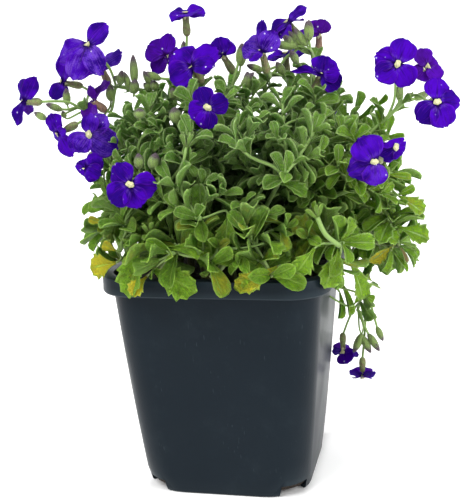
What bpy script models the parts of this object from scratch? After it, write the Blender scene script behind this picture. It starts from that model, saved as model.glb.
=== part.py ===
"""Potted aubrieta: a square nursery pot, its soil, leafy shoots and four-petalled flowers.

Metres, +Z up. The origin is the middle of the pot's underside, and -Y is the front.
"""

import math
import random
from collections import namedtuple

import bmesh
import bpy
from mathutils import Matrix, Vector
from mathutils.bvhtree import BVHTree

MM = 0.001

# Pot: a square with rounded corners that widens from the foot to the rim band
POT_HEIGHT = 95 * MM
FOOT_WIDTH = 69.5 * MM
NECK_WIDTH = 86 * MM
NECK_HEIGHT = 88 * MM
RIM_WIDTH = 93.5 * MM
POT_WALL = 1.3 * MM
FLOOR_THICKNESS = 2.2 * MM
CORNER_RADIUS = 14.5 * MM
CORNER_STEPS = 3
FACET_HEIGHT = 17 * MM
FACET_RADIUS = 12 * MM
EDGE_BEVEL = 0.8 * MM
NOTCH_WIDTH = 13 * MM
NOTCH_HEIGHT = 5 * MM
NOTCH_DEPTH = 6.5 * MM

# Soil: fills the pot with a small gap and has one plain hole for each stem
GAP = 0.3 * MM
SOIL_TOP = 88 * MM
SOIL_BUMPS = 0.8 * MM
SOIL_RINGS = 2
HOLE_DEPTH = 6 * MM

# Dome of shoots: crowns lie on a flattened dome, evenly by the golden angle
SHOOTS = 30
SHOOT_TRIES = 11
TRY_TURN = math.radians(7)
STEM_CLEARANCE = 0.6 * MM
GOLDEN_ANGLE = math.radians(137.508)
DOME_CENTRE = Vector((8 * MM, 1 * MM, 0))
DOME_HALF_WIDTH = 63 * MM
DOME_HALF_DEPTH = 56 * MM
DOME_SKIRT = 99 * MM
DOME_TOP = 167 * MM
DOME_FALL = 0.75
DOME_SQUARENESS = 3.2
SKIRT_SHOOTS = 10
SKIRT_STEP = 0.12
ROOT_SPREAD = 0.42
SKIRT_LEAN = 98
SPREAD_CENTRE = Vector((3 * MM, 0, 70 * MM))
STEM_SIDES = 4
STEM_POINTS = 5
STALK_POINTS = 5
STEM_RADIUS = 1.2 * MM
TIP_RADIUS = 0.8 * MM
STALK_RADIUS = 0.6 * MM
STALK_SUNK = 0.3 * MM
STEM_ARCH = 0.42

# Side shoots: short ones that end on the dome wherever the crowns leave it open
SIDE_SPOTS = 110
SIDE_TURN = 1.6
SIDE_SPACE = 16.8 * MM
SIDE_SITES = 9
SITE_TRIES = 14
FIRST_SITE = 5 * MM
LONGEST_SIDE = 42 * MM
SHORTEST_SIDE = 7 * MM
SIDE_POINTS = 4
SIDE_RADIUS = 0.7 * MM
SIDE_LEAVES = 4
SIDE_LEAFY_SHARE = 0.9
FALL_COST = 1.5

# Leaves: spoon-shaped blades with a tooth on each side, small and upright at the tip of a shoot.
# Stations give the share of the length and the half width there as a share of the width.
DOME_LEAVES = 5
SKIRT_LEAVES = 6
LEAF_SPACING = 1.7 * MM
LEAF_SPACING_GROWTH = 0.16 * MM
LEAF_SHORTEST = 13.5 * MM
LEAF_LONGEST = 17.5 * MM
LEAVES_TO_FULL_SIZE = 6
FIRST_TOOTHED = 4
LEAF_WIDTH_SHARE = 0.60
LEAF_THICKNESS = 1.0 * MM
LEAF_SUNK = 0.6 * MM
LEAF_OPENS = 32
LEAF_BEND = 0.35
LOW_LEAF_SIZE = 1.08
HIGH_LEAF_SIZE = 0.94
STALK_LEAF_SIZE = 1.1
LEAF_TRIES = 8
LEAF_TRY_TURN = 0.62
LEAF_CLEARANCE = 0.4 * MM
ROOT_CLEARANCE = 2.2 * MM
POT_CLEARANCE = 1.2 * MM
BARE_STEM_SHARE = 0.14
LOW_SHOOT = 120 * MM
TOOTHED_STATIONS = ((0.42, 0.30), (0.68, 0.50), (0.79, 0.36))
PLAIN_STATIONS = ((0.45, 0.32), (0.74, 0.50))

# Flowers: calyx and pale tube on a thin stalk, four petals spread flat on a small hub
CALYX_LENGTH = 8.0 * MM
CALYX_RADIUS = 1.6 * MM
HUB_RADIUS = 1.7 * MM
HUB_HEIGHT = 1.2 * MM
PETAL_SUNK = 0.9 * MM
PETAL_THICKNESS = 0.9 * MM
PETAL_WIDTH_SHARE = 1.0
PETAL_STATIONS = ((0.30, 0.22), (0.66, 0.50), (0.97, 0.32))
BUD_LENGTH = 7.5 * MM
BUD_RADIUS = 1.6 * MM
CALYX_WIDTHS = ((0.0, 0.7 * MM), (0.3, CALYX_RADIUS), (1.0, 0.8 * CALYX_RADIUS))
BUD_WIDTHS = ((0.0, 0.6 * MM), (0.45, BUD_RADIUS), (1.0, 0.4 * MM))
HUB_SIDES = 4
CLEAR_SHARE = 0.6
CLEAR_START = 2 * MM
CLEAR_DEPTH = 15 * MM

SEED = 11

Flower = namedtuple("Flower", "name place heading rise petal angles cup")
Raceme = namedtuple("Raceme", "foot tip flowers buds leaves")
Shoot = namedtuple("Shoot", "name stem crown_share stalks calyces buds flowers")
Blade = namedtuple("Blade", "root ahead face length width bend stations thickness")


def millimetres(*values):
    return Vector(values) * MM


# Flower stalks: where each leaves the dome and ends, and its flowers and buds, in millimetres.
# A heading of 0 looks to the front and 90 to the right; rise is degrees above level. A flower's
# petals have a length, an angle each, anticlockwise from its right, and a share by which they cup.
RACEMES = (
    Raceme((-45, -4, 148), (-62, -6, 160), (
        Flower("west_low", (-68, -17, 150), -75, -25, 10.0, (20, 110, 200, 290), 0.15),
        Flower("west_high", (-74, 6, 170), -62, 12, 9.0, (40, 125, 215, 305), 0.20),
        Flower("west_far", (-86, -8, 163), -104, 0, 10.0, (62, 135, 225, 300), 0.25),
    ), ((-70, -14, 161),), 2),
    Raceme((-30, 6, 161), (-47, 0, 168), (
        Flower("west_mid", (-55, 4, 177), -80, 68, 10.5, (5, 100, 185, 270), 0.15),
        Flower("west_top", (-54, -12, 186), -43, 44, 12.0, (52, 135, 228, 300), 0.10),
    ), ((-43, -5, 172),), 1),
    Raceme((-33, -25, 142), (-42, -24, 146), (
        Flower("front_west_low", (-49, -38, 138), -12, -38, 6.5, (20, 100, 190, 285), 0.20),
        Flower("front_west", (-49, -31, 151), 5, 12, 10.5, (60, 140, 215, 338), 0.10),
    ), (), 1),
    Raceme((-18, -36, 126), (-26, -38, 131), (
        Flower("front_low", (-26, -52, 134), 5, 6, 10.5, (125, 222, 290, 356), 0.10),
    ), (), 0),
    Raceme((-12, 2, 166), (-17, 0, 172), (
        Flower("top_back", (-27, 9, 180), 8, 20, 9.5, (8, 80, 158, 225), 0.12),
        Flower("top_front", (-9, -18, 176), -30, 48, 12.0, (35, 138, 208, 320), 0.12),
        Flower("top_high", (-15, 0, 197), 0, 84, 9.5, (20, 110, 200, 290), 0.20),
    ), ((-17, 2, 182), (-30, -2, 172)), 1),
    Raceme((4, -14, 163), (6, -12, 167), (
        Flower("front_high", (2, -38, 161), 8, 10, 8.5, (15, 108, 195, 262), 0.15),
        Flower("middle_high", (1, -6, 180), -60, 58, 8.5, (10, 95, 185, 275), 0.50),
    ), ((9, -8, 180), (13, -14, 170)), 1),
    Raceme((16, 6, 165), (23, 3, 174), (
        Flower("crest_west", (19, -14, 181), -80, 77, 8.5, (10, 100, 190, 280), 0.65),
        Flower("crest_low", (24, 14, 179), 0, 84, 8.5, (40, 130, 220, 310), 0.12),
        Flower("crest_high", (27, 2, 192), -75, 54, 11.0, (85, 175, 265, 350), 0.12),
    ), ((14, -4, 174),), 1),
    Raceme((36, 4, 160), (37, 4, 178), (
        Flower("crest_east", (38, 16, 187), 20, 78, 7.5, (10, 100, 190, 280), 0.55),
        Flower("east_drooping", (42, -8, 171), 70, 58, 11.0, (10, 100, 175, 270), 0.35),
    ), ((29, -5, 184), (36, -4, 188), (31, -9, 178)), 3),
    Raceme((59, -4, 145), (76, -6, 161), (
        Flower("east_front", (72, -15, 174), 8, 10, 10.5, (65, 158, 212, 305), 0.10),
        Flower("east_back", (83, 4, 172), 83, 28, 9.5, (10, 95, 190, 270), 0.15),
        Flower("east_far", (87, -24, 160), 18, 5, 10.5, (82, 225, 290, 355), 0.08),
    ), ((81, -3, 161), (72, -2, 163)), 4),
    Raceme((58, -22, 128), (66, -26, 138), (
        Flower("east_low_back", (72, -31, 144), 36, 15, 8.0, (10, 78, 150, 315), 0.12),
        Flower("east_low", (65, -41, 140), -8, 5, 10.5, (130, 192, 245, 300), 0.10),
    ), (), 2),
    Raceme((56, 34, 104), (50, 41, 60), (
        Flower("trailing_high", (42, 48, 37), 180, -84, 6.5, (20, 110, 200, 290), 0.25),
        Flower("trailing_low", (52, 38, 28), 0, -86, 6.5, (45, 135, 225, 315), 0.15),
    ), ((57, 38, 46), (60, 42, 48)), 9),
    Raceme((-16, 34, 150), (-20, 40, 150), (
        Flower("back_west", (-22, 54, 149), 175, 22, 10.0, (25, 115, 200, 290), 0.12),
    ), (), 1),
    Raceme((34, 35, 145), (38, 42, 146), (
        Flower("back_east", (38, 56, 144), 165, 15, 10.0, (10, 95, 190, 280), 0.12),
        Flower("back_low", (22, 58, 132), 190, 5, 9.5, (40, 130, 215, 310), 0.12),
    ), (), 1),
)


def clear_scene():
    """Remove the scene's objects."""
    for thing in list(bpy.data.objects):
        bpy.data.objects.remove(thing, do_unlink=True)


def make_material(name, colour, roughness):
    """One plain material for a sub-part."""
    material = bpy.data.materials.new(name)
    material.use_nodes = True
    shader = material.node_tree.nodes["Principled BSDF"]
    shader.inputs["Base Color"].default_value = (*colour, 1.0)
    shader.inputs["Roughness"].default_value = roughness
    shader.inputs["Metallic"].default_value = 0.0
    return material


def new_object(name, points, faces, material=None):
    """A mesh object from points and faces."""
    mesh = bpy.data.meshes.new(name)
    mesh.from_pydata([tuple(point) for point in points], [], faces)
    if material is not None:
        mesh.materials.append(material)
    thing = bpy.data.objects.new(name, mesh)
    bpy.context.collection.objects.link(thing)
    return thing


def apply_boolean(target, parts, operation):
    """Join the parts to the target, or cut them from it, and remove them."""
    group = bpy.data.collections.new("operands")
    bpy.context.scene.collection.children.link(group)
    for part in parts:
        bpy.context.collection.objects.unlink(part)
        group.objects.link(part)
    modifier = target.modifiers.new("Joined", "BOOLEAN")
    modifier.operation = operation
    modifier.operand_type = "COLLECTION"
    modifier.collection = group
    modifier.solver = "EXACT"
    graph = bpy.context.evaluated_depsgraph_get()
    joined = bpy.data.meshes.new_from_object(target.evaluated_get(graph))
    target.modifiers.clear()
    target.data = joined
    for part in parts:
        bpy.data.objects.remove(part, do_unlink=True)
    bpy.data.collections.remove(group)


def rounded_square(half_width, radius, height):
    """Points of a level square with rounded corners, anticlockwise from above."""
    points = []
    middle = half_width - radius
    for corner in range(4):
        turn = Matrix.Rotation(math.radians(90 * corner), 3, "Z")
        for step in range(CORNER_STEPS + 1):
            angle = math.radians(90 * step / CORNER_STEPS)
            point = Vector((middle + radius * math.cos(angle), middle + radius * math.sin(angle), height))
            points.append(turn @ point)
    return points


def loft(rings):
    """A closed shape through rings of equal length, capped at both ends."""
    count = len(rings[0])
    points = [point for ring in rings for point in ring]
    faces = [tuple(reversed(range(count)))]
    for level in range(len(rings) - 1):
        low = level * count
        for step in range(count):
            beside = (step + 1) % count
            faces.append((low + step, low + beside, low + count + beside, low + count + step))
    last = (len(rings) - 1) * count
    faces.append(tuple(range(last, last + count)))
    return points, faces


def pot_half_width(height):
    """Half the outer width of the pot's wall at a height."""
    return (FOOT_WIDTH + (NECK_WIDTH - FOOT_WIDTH) * height / NECK_HEIGHT) / 2


def pot_radius(height):
    """Corner radius at a height: rounder where the facet cuts the foot's corners."""
    return CORNER_RADIUS + FACET_RADIUS * max(0.0, 1 - height / FACET_HEIGHT)


def wall_ring(height, inset):
    """Ring of the pot's wall at a height, moved inwards by the inset."""
    half_width = pot_half_width(height) - inset
    radius = pot_radius(height) - inset
    return rounded_square(half_width, radius, height)


def rim_ring(height, inset):
    """Ring of the rim band at a height."""
    half_width = RIM_WIDTH / 2 - inset
    return rounded_square(half_width, CORNER_RADIUS + 2 * MM - inset, height)


def make_pot(material):
    """Pot with a folded rim band, a foot facet on each corner and four drain notches."""
    rings = [rounded_square(pot_half_width(0) - EDGE_BEVEL, pot_radius(0) - EDGE_BEVEL, 0)]
    rings += [wall_ring(height, 0) for height in (EDGE_BEVEL, FACET_HEIGHT, POT_HEIGHT - 2 * POT_WALL)]
    rings.append(rim_ring(POT_HEIGHT - 2 * POT_WALL, POT_WALL))
    rings.append(rim_ring(NECK_HEIGHT, POT_WALL))
    rings.append(rim_ring(NECK_HEIGHT, POT_WALL / 2))
    rings.append(rim_ring(NECK_HEIGHT + POT_WALL, 0))
    rings.append(rim_ring(POT_HEIGHT - EDGE_BEVEL, 0))
    rings.append(rim_ring(POT_HEIGHT, EDGE_BEVEL))
    for height in (POT_HEIGHT, FACET_HEIGHT, FLOOR_THICKNESS):
        rings.append(wall_ring(height, POT_WALL))
    pot = new_object("pot", *loft(rings), material)
    diagonal = (pot_half_width(0) - pot_radius(0)) * math.sqrt(2) + pot_radius(0)
    cutters = []
    for corner in range(4):
        bm = bmesh.new()
        bmesh.ops.create_cube(bm, size=1.0)
        size = (2 * NOTCH_DEPTH, NOTCH_WIDTH, 2 * NOTCH_HEIGHT)
        bmesh.ops.scale(bm, vec=size, verts=bm.verts)
        bmesh.ops.translate(bm, vec=(diagonal, 0, 0), verts=bm.verts)
        turn = Matrix.Rotation(math.radians(45 + 90 * corner), 3, "Z")
        bmesh.ops.rotate(bm, cent=(0, 0, 0), matrix=turn, verts=bm.verts)
        mesh = bpy.data.meshes.new("notch")
        bm.to_mesh(mesh)
        bm.free()
        cutter = bpy.data.objects.new("notch", mesh)
        bpy.context.collection.objects.link(cutter)
        cutters.append(cutter)
    apply_boolean(pot, cutters, "DIFFERENCE")
    return pot


def make_soil(roots, material):
    """Soil with a crumbled top and a plain hole for each root."""
    draw = random.Random(SEED)
    rings = [wall_ring(height, POT_WALL + GAP) for height in (FLOOR_THICKNESS + GAP, FACET_HEIGHT, SOIL_TOP)]
    edge = rings[-1]
    for ring in range(1, SOIL_RINGS):
        share = 1 - ring / SOIL_RINGS
        bumps = [Vector((0, 0, draw.uniform(-SOIL_BUMPS, SOIL_BUMPS))) for _ in edge]
        rings.append([Vector((p.x * share, p.y * share, p.z)) + bump for p, bump in zip(edge, bumps)])
    soil = new_object("soil", *loft(rings), material)
    holes = []
    for root in roots:
        foot = Vector((root.x, root.y, SOIL_TOP - HOLE_DEPTH))
        top = Vector((root.x, root.y, SOIL_TOP + HOLE_DEPTH))
        holes.append(new_object("hole", *tube([foot, top], [STEM_RADIUS + 2 * GAP] * 2, STEM_SIDES)))
    apply_boolean(soil, holes, "DIFFERENCE")
    return soil


def bezier(start, control_a, control_b, end, count):
    """Evenly stepped points of a cubic curve."""
    points = []
    for step in range(count):
        t = step / (count - 1)
        s = 1 - t
        points.append(s ** 3 * start + 3 * s * s * t * control_a + 3 * s * t * t * control_b + t ** 3 * end)
    return points


def tube(path, radii, sides, across=None):
    """A closed tube along a path, with a radius at each point."""
    rings = []
    if across is None:
        across = Vector((1, 0, 0)) if abs((path[1] - path[0]).normalized().x) < 0.9 else Vector((0, 1, 0))
    for index, point in enumerate(path):
        along = (path[min(index + 1, len(path) - 1)] - path[max(index - 1, 0)]).normalized()
        across = (across - along * across.dot(along)).normalized()
        beside = along.cross(across)
        ring = []
        for side in range(sides):
            angle = math.tau * side / sides
            ring.append(point + (across * math.cos(angle) + beside * math.sin(angle)) * radii[index])
        rings.append(ring)
    return loft(rings)


def blade_shape(blade):
    """A bent blade with a flat face and a keel under it: points and faces."""
    side = blade.ahead.cross(blade.face)
    points = [blade.root]
    stations = blade.stations if blade.stations[-1][0] > 0.9 else blade.stations + ((1.0, 0.0),)
    for share, width_share in stations:
        turn = blade.bend * share
        if abs(blade.bend) > 1e-4:
            reach = math.sin(turn) / blade.bend
            drop = (1 - math.cos(turn)) / blade.bend
        else:
            reach = share
            drop = 0.0
        middle = blade.root + blade.length * (blade.ahead * reach - blade.face * drop)
        if width_share == 0.0:
            points.append(middle)
            continue
        under = blade.face * math.cos(turn) + blade.ahead * math.sin(turn)
        half = blade.width * width_share
        points.append(middle - side * half)
        points.append(middle + side * half)
        points.append(middle - under * blade.thickness)
    faces = [(0, 2, 1), (0, 3, 2), (0, 1, 3)]
    rows = (len(points) - 1) // 3
    for low in range(1, 3 * rows - 2, 3):
        for near, far in ((0, 1), (1, 2), (2, 0)):
            faces.append((low + near, low + far, low + 3 + far, low + 3 + near))
    last = 3 * rows - 2
    if len(points) > last + 3:
        tip = last + 3
        faces += [(last, last + 1, tip), (last + 1, last + 2, tip), (last + 2, last, tip)]
    else:
        faces.append((last, last + 1, last + 2))
    return points, faces


def dome_point(height, angle):
    """A point on the dome, at a share of its height and an angle round it."""
    reach = (1 - height ** DOME_SQUARENESS) ** (1 / DOME_SQUARENESS)
    return DOME_CENTRE + Vector((
        DOME_HALF_WIDTH * reach * math.cos(angle),
        DOME_HALF_DEPTH * reach * math.sin(angle),
        DOME_SKIRT + (DOME_TOP - DOME_SKIRT) * height,
    ))


def crown(index, turn=0.0):
    """Where shoot number index ends: on the dome, or in the ring that hangs over the rim."""
    dome_shoots = SHOOTS - SKIRT_SHOOTS
    if index < dome_shoots:
        return dome_point((1 - (index + 0.5) / dome_shoots) ** DOME_FALL, index * GOLDEN_ANGLE + turn)
    return dome_point(SKIRT_STEP * (index % 2), math.tau * (index - dome_shoots) / SKIRT_SHOOTS + turn)


def lean_of(place):
    """The way a shoot ends: upright in the middle of the dome, level or drooping at its skirt."""
    out = Vector((place.x - DOME_CENTRE.x, place.y - DOME_CENTRE.y, 0))
    height = min(1.0, max(0.0, (place.z - DOME_SKIRT) / (DOME_TOP - DOME_SKIRT)))
    lean = math.radians(SKIRT_LEAN) * (1 - height ** 1.6)
    return (out.normalized() * math.sin(lean) + Vector((0, 0, math.cos(lean)))).normalized()


def flower_facing(flower):
    """The way a flower looks."""
    heading = math.radians(flower.heading)
    rise = math.radians(flower.rise)
    level = math.cos(rise)
    return Vector((math.sin(heading) * level, -math.cos(heading) * level, math.sin(rise)))


def path_length(path):
    """Length along the points of a path."""
    return sum((b - a).length for a, b in zip(path, path[1:]))


def stem_path(base, place):
    """A stem that stands in the soil under the base and bends over to its place on the dome."""
    root = Vector((
        SPREAD_CENTRE.x + (base.x - DOME_CENTRE.x) * ROOT_SPREAD,
        SPREAD_CENTRE.y + (base.y - DOME_CENTRE.y) * ROOT_SPREAD,
        SOIL_TOP - HOLE_DEPTH + GAP,
    ))
    start = root + Vector((0, 0, HOLE_DEPTH + 1 * MM))
    arch = (place - start).length * STEM_ARCH
    above = start + Vector((0, 0, arch))
    return [root] + bezier(start, above, place - lean_of(place) * arch, place, STEM_POINTS)


def plan_leafy_shoot(index, room):
    """A shoot without flowers, turned round the dome until its stem has room."""
    for attempt in range(SHOOT_TRIES):
        turn = TRY_TURN * ((attempt + 1) // 2) * (1 if attempt % 2 else -1)
        place = crown(index, turn)
        shoot = Shoot(shoot_name(index), stem_path(place, place), 1.0, [], [], [], ())
        pieces = stem_pieces(shoot, STEM_CLEARANCE)
        if all(room.is_free(piece) for piece in pieces):
            break
    return shoot


def plan_flowering_shoot(index, raceme):
    """A shoot that goes on into a flower stalk, with its flowers' calyces and its buds."""
    place = millimetres(*raceme.foot)
    ahead = lean_of(place)
    stem = stem_path(crown(index), place)
    tip = millimetres(*raceme.tip)
    bow = (tip - place).length / 3
    axis = bezier(place, place + ahead * bow, tip - (tip - place).normalized() * bow, tip, STALK_POINTS)
    crown_share = path_length(stem) / path_length(stem + axis[1:])
    stalks = []
    calyces = []
    buds = []
    for number, flower in enumerate(raceme.flowers):
        facing = flower_facing(flower)
        mouth = millimetres(*flower.place) - facing * (HUB_HEIGHT + GAP)
        foot = mouth - facing * CALYX_LENGTH
        start = axis[STALK_POINTS - len(raceme.flowers) + number] - ahead * STALK_SUNK
        bow = (foot - start).length / 3
        stalks.append(bezier(start, start + ahead * bow, foot - facing * bow, foot + facing * MM, 4))
        calyces.append((foot, mouth))
    for number, bud in enumerate(raceme.buds):
        start = axis[STALK_POINTS - 1 - number] - ahead * 2 * STALK_SUNK
        away = ((millimetres(*bud) - start).normalized() + Vector((0, 0, 0.3))).normalized()
        foot = millimetres(*bud) - away * BUD_LENGTH / 2
        stalks.append(bezier(start, start + ahead * MM * 2, foot - away * MM * 3, foot + away * MM, 4))
        buds.append((foot, foot + away * BUD_LENGTH))
    return Shoot(shoot_name(index), stem + axis[1:], crown_share, stalks, calyces, buds, raceme.flowers)


def side_sites(shoots, place):
    """Points of the leafy stems from which a side shoot may grow to a place, the best first."""
    sites = []
    for order, shoot in enumerate(shoots):
        length = path_length(shoot.stem)
        first = length * (1 - shoot.crown_share) + FIRST_SITE
        last = length * (1 - BARE_STEM_SHARE)
        for step in range(SIDE_SITES):
            point, along = point_on(shoot.stem, first + (last - first) * step / SIDE_SITES)
            distance = (place - point).length
            if SHORTEST_SIDE < distance < LONGEST_SIDE:
                cost = distance + FALL_COST * max(0.0, point.z - place.z)
                sites.append((cost, order, step, point, along))
    sites.sort(key=lambda site: site[:3])
    return sites


def side_path(start, along, place):
    """A side shoot's stem, which leaves the main stem along it and ends as a crown does."""
    arch = (place - start).length * STEM_ARCH
    return bezier(start, start + along * arch, place - lean_of(place) * arch, place, SIDE_POINTS)


def side_pieces(path, clearance=0.0):
    """A side shoot's stem as one short tube between each two of its points."""
    radii = [SIDE_RADIUS + clearance] * 2
    return [tube([start, end], radii, STEM_SIDES) for start, end in zip(path, path[1:])]


def plan_side_shoots(shoots, room):
    """Side shoots that fill the dome between the crowns, each where it has room."""
    sides = {shoot.name: [] for shoot in shoots}
    tips = [point_on(shoot.stem, path_length(shoot.stem) * (1 - shoot.crown_share))[0] for shoot in shoots]
    for index in range(SIDE_SPOTS):
        height = (1 - (index + 0.5) / SIDE_SPOTS) ** DOME_FALL
        place = dome_point(height, index * GOLDEN_ANGLE + SIDE_TURN)
        if min((place - tip).length for tip in tips) < SIDE_SPACE:
            continue
        for _, order, _, start, along in side_sites(shoots, place)[:SITE_TRIES]:
            owner = shoots[order].name
            path = side_path(start, along, place)
            wide = side_pieces(path, STEM_CLEARANCE)
            free = all(room.is_free(piece) for piece in wide[1:]) and room.is_free(wide[0], owner)
            if free and all(clears_pot(piece[0]) for piece in wide):
                sides[owner].append(path)
                tips.append(place)
                for piece in side_pieces(path):
                    room.add(piece, owner)
                break
    return sides


def shoot_name(index):
    """Node name of a shoot."""
    return f"shoot_{index + 1:02d}"


def plan_shoots(room):
    """Stems, flower stalks, calyces and buds of every shoot, which fill the room."""
    carried = {}
    for raceme in RACEMES:
        foot = millimetres(*raceme.foot)
        free = [index for index in range(SHOOTS) if index not in carried]
        nearest = min(free, key=lambda index: (crown(index) - foot).length)
        carried[nearest] = raceme
    shoots = {}
    for index, raceme in carried.items():
        shoots[index] = plan_flowering_shoot(index, raceme)
        fill_room(shoots[index], room)
    for index in range(SHOOTS):
        if index not in shoots:
            shoots[index] = plan_leafy_shoot(index, room)
            fill_room(shoots[index], room)
    return [shoots[index] for index in range(SHOOTS)]


def stem_radii(shoot):
    """Radius of a shoot's stem at each of its points."""
    radii = []
    last = len(shoot.stem) - 1
    for index in range(len(shoot.stem)):
        share = index / last
        if shoot.flowers:
            radii.append(STEM_RADIUS + (STALK_RADIUS + 0.1 * MM - STEM_RADIUS) * share)
        else:
            radii.append(STEM_RADIUS + (TIP_RADIUS - STEM_RADIUS) * share)
    return radii


def stem_pieces(shoot, clearance=0.0):
    """The stem as one short tube between each two of its points."""
    radii = [radius + clearance for radius in stem_radii(shoot)]
    steps = range(len(shoot.stem) - 1)
    return [tube(shoot.stem[step:step + 2], radii[step:step + 2], STEM_SIDES) for step in steps]


def spindle(start, end, widths, sides):
    """A turned shape between two points, with a radius at each share of its length."""
    path = [start.lerp(end, share) for share, _ in widths]
    return tube(path, [radius for _, radius in widths], sides)


def calyx_shape(foot, mouth):
    """The calyx and the pale tube above it."""
    return spindle(foot, mouth, CALYX_WIDTHS, STEM_SIDES)


def bud_shape(foot, tip):
    """A closed bud."""
    return spindle(foot, tip, BUD_WIDTHS, STEM_SIDES)


def point_on(path, distance_from_end):
    """The point and the direction on a path, measured back from its end."""
    left = distance_from_end
    for index in range(len(path) - 1, 0, -1):
        piece = path[index] - path[index - 1]
        if left <= piece.length or index == 1:
            along = piece.normalized()
            return path[index] - along * min(left, piece.length), along
        left -= piece.length
    raise ValueError("empty path")


def petal_heading(flower, degrees):
    """A direction across the flower, turned about the way it looks."""
    facing = flower_facing(flower)
    upright = Vector((0, 0, 1)) if abs(facing.z) < 0.9 else Vector((0, 1, 0))
    across = upright.cross(facing).normalized()
    return Matrix.Rotation(math.radians(degrees), 3, facing) @ across


def petal_blades(flower):
    """The four petals of a flower."""
    facing = flower_facing(flower)
    draw = random.Random(f"{SEED} {flower.name}")
    blades = []
    for angle in flower.angles:
        ahead = petal_heading(flower, angle + draw.uniform(-4, 4))
        root = millimetres(*flower.place) - facing * HUB_HEIGHT * 0.4
        root += ahead * (HUB_RADIUS * 0.7 - PETAL_SUNK)
        ahead = (ahead + facing * (flower.cup + draw.uniform(-0.07, 0.10))).normalized()
        face = (facing - ahead * facing.dot(ahead)).normalized()
        length = flower.petal * MM * draw.uniform(0.90, 1.04)
        bend = draw.uniform(0.15, 0.55)
        blades.append(Blade(root, ahead, face, length, length * PETAL_WIDTH_SHARE, bend,
                            PETAL_STATIONS, PETAL_THICKNESS))
    return blades


def leaf_blade(shoot_number, number, attempt, place, along, draw_values, largest):
    """One leaf on a shoot: lower leaves are larger and stand out further."""
    spin, lean, size = draw_values
    age = min(1.0, number / LEAVES_TO_FULL_SIZE)
    angle = number * GOLDEN_ANGLE + shoot_number + 0.5 * spin + attempt * LEAF_TRY_TURN
    across = Vector((0, 0, 1)).cross(along)
    if across.length < 0.1:
        across = Vector((1, 0, 0))
    across.normalize()
    outward = Matrix.Rotation(angle, 3, along) @ across
    spread = 24 + 20 * (1 - max(0.0, along.z))
    open_angle = math.radians(LEAF_OPENS + spread * age + 9 * lean + 4 * (attempt % 3))
    ahead = along * math.cos(open_angle) + outward * math.sin(open_angle)
    ahead = (ahead + Vector((0, 0, 0.12))).normalized()
    light = (place - SPREAD_CENTRE).normalized() * 0.7 + Vector((0, 0, 0.1))
    face = along * math.sin(open_angle) - outward * math.cos(open_angle) + light
    face = (face - ahead * face.dot(ahead)).normalized()
    length = (LEAF_SHORTEST + (largest - LEAF_SHORTEST) * age) * (1 + 0.12 * size) * (1 - 0.04 * attempt)
    stations = TOOTHED_STATIONS if number >= FIRST_TOOTHED else PLAIN_STATIONS
    root = place - ahead * LEAF_SUNK
    bend = LEAF_BEND + 0.5 * age
    return Blade(root, ahead, face, length, length * LEAF_WIDTH_SHARE, bend, stations, LEAF_THICKNESS)


def swollen(blade):
    """The same blade a little larger all round, for testing its clearance."""
    root = blade.root + blade.face * LEAF_CLEARANCE + blade.ahead * ROOT_CLEARANCE
    return blade._replace(root=root, length=blade.length - ROOT_CLEARANCE + 1.5 * LEAF_CLEARANCE,
                          width=blade.width + 2 * LEAF_CLEARANCE,
                          thickness=blade.thickness + 2 * LEAF_CLEARANCE)


def clears_pot(points):
    """Whether no stretch between the points comes near the pot."""
    reach = RIM_WIDTH / 2 + POT_CLEARANCE
    for start, end in zip(points, points[3:]):
        for step in range(5):
            spot = start.lerp(end, step / 4)
            if spot.z < POT_HEIGHT + POT_CLEARANCE and abs(spot.x) < reach and abs(spot.y) < reach:
                return False
    return True


class Room:
    """What already stands in the dome, for placing each leaf clear of it."""

    def __init__(self):
        self.taken = []

    def add(self, shape, owner):
        """Take up the room of a shape, which the owner may cross."""
        points, faces = shape
        middle = sum(points, Vector()) / len(points)
        radius = max((point - middle).length for point in points)
        self.taken.append((middle, radius, BVHTree.FromPolygons(points, faces), owner))

    def is_free(self, shape, owner=None):
        """Whether the shape crosses nothing but its owner's own pieces."""
        points, faces = shape
        middle = sum(points, Vector()) / len(points)
        radius = max((point - middle).length for point in points)
        near = [tree for spot, size, tree, holder in self.taken
                if (holder is None or holder != owner) and (spot - middle).length < size + radius]
        if not near:
            return True
        own = BVHTree.FromPolygons(points, faces)
        return not any(own.overlap(tree) for tree in near)


def leaf_places(shoots, sides):
    """Where leaves may grow: number, shoot, side shoot or -1, distance from the tip and largest length."""
    places = []
    for index, shoot in enumerate(shoots):
        length = path_length(shoot.stem)
        crown_start = length * (1 - shoot.crown_share)
        low = shoot.stem[-1].z < LOW_SHOOT and not shoot.flowers
        largest = LEAF_LONGEST * (LOW_LEAF_SIZE if low else HIGH_LEAF_SIZE)
        for number in range(SKIRT_LEAVES if low else DOME_LEAVES):
            back = crown_start + leaf_distance(number)
            if back < length * (1 - BARE_STEM_SHARE):
                places.append((number, index, -1, back, largest))
        extra = next((r.leaves for r in RACEMES if r.flowers == shoot.flowers), 0) if shoot.flowers else 0
        for number in range(extra):
            back = crown_start * (number + 0.8) / (extra + 0.6)
            places.append((number + 2, index, -1, back, LEAF_SHORTEST * STALK_LEAF_SIZE))
        for order, path in enumerate(sides[shoot.name]):
            for number in range(SIDE_LEAVES):
                if leaf_distance(number) < path_length(path) * SIDE_LEAFY_SHARE:
                    places.append((number, index, order, leaf_distance(number), largest))
    return sorted(places)


def leaf_distance(number):
    """How far from the tip a leaf grows."""
    return LEAF_SPACING * number + LEAF_SPACING_GROWTH * number ** 2 + 0.4 * MM


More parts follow.
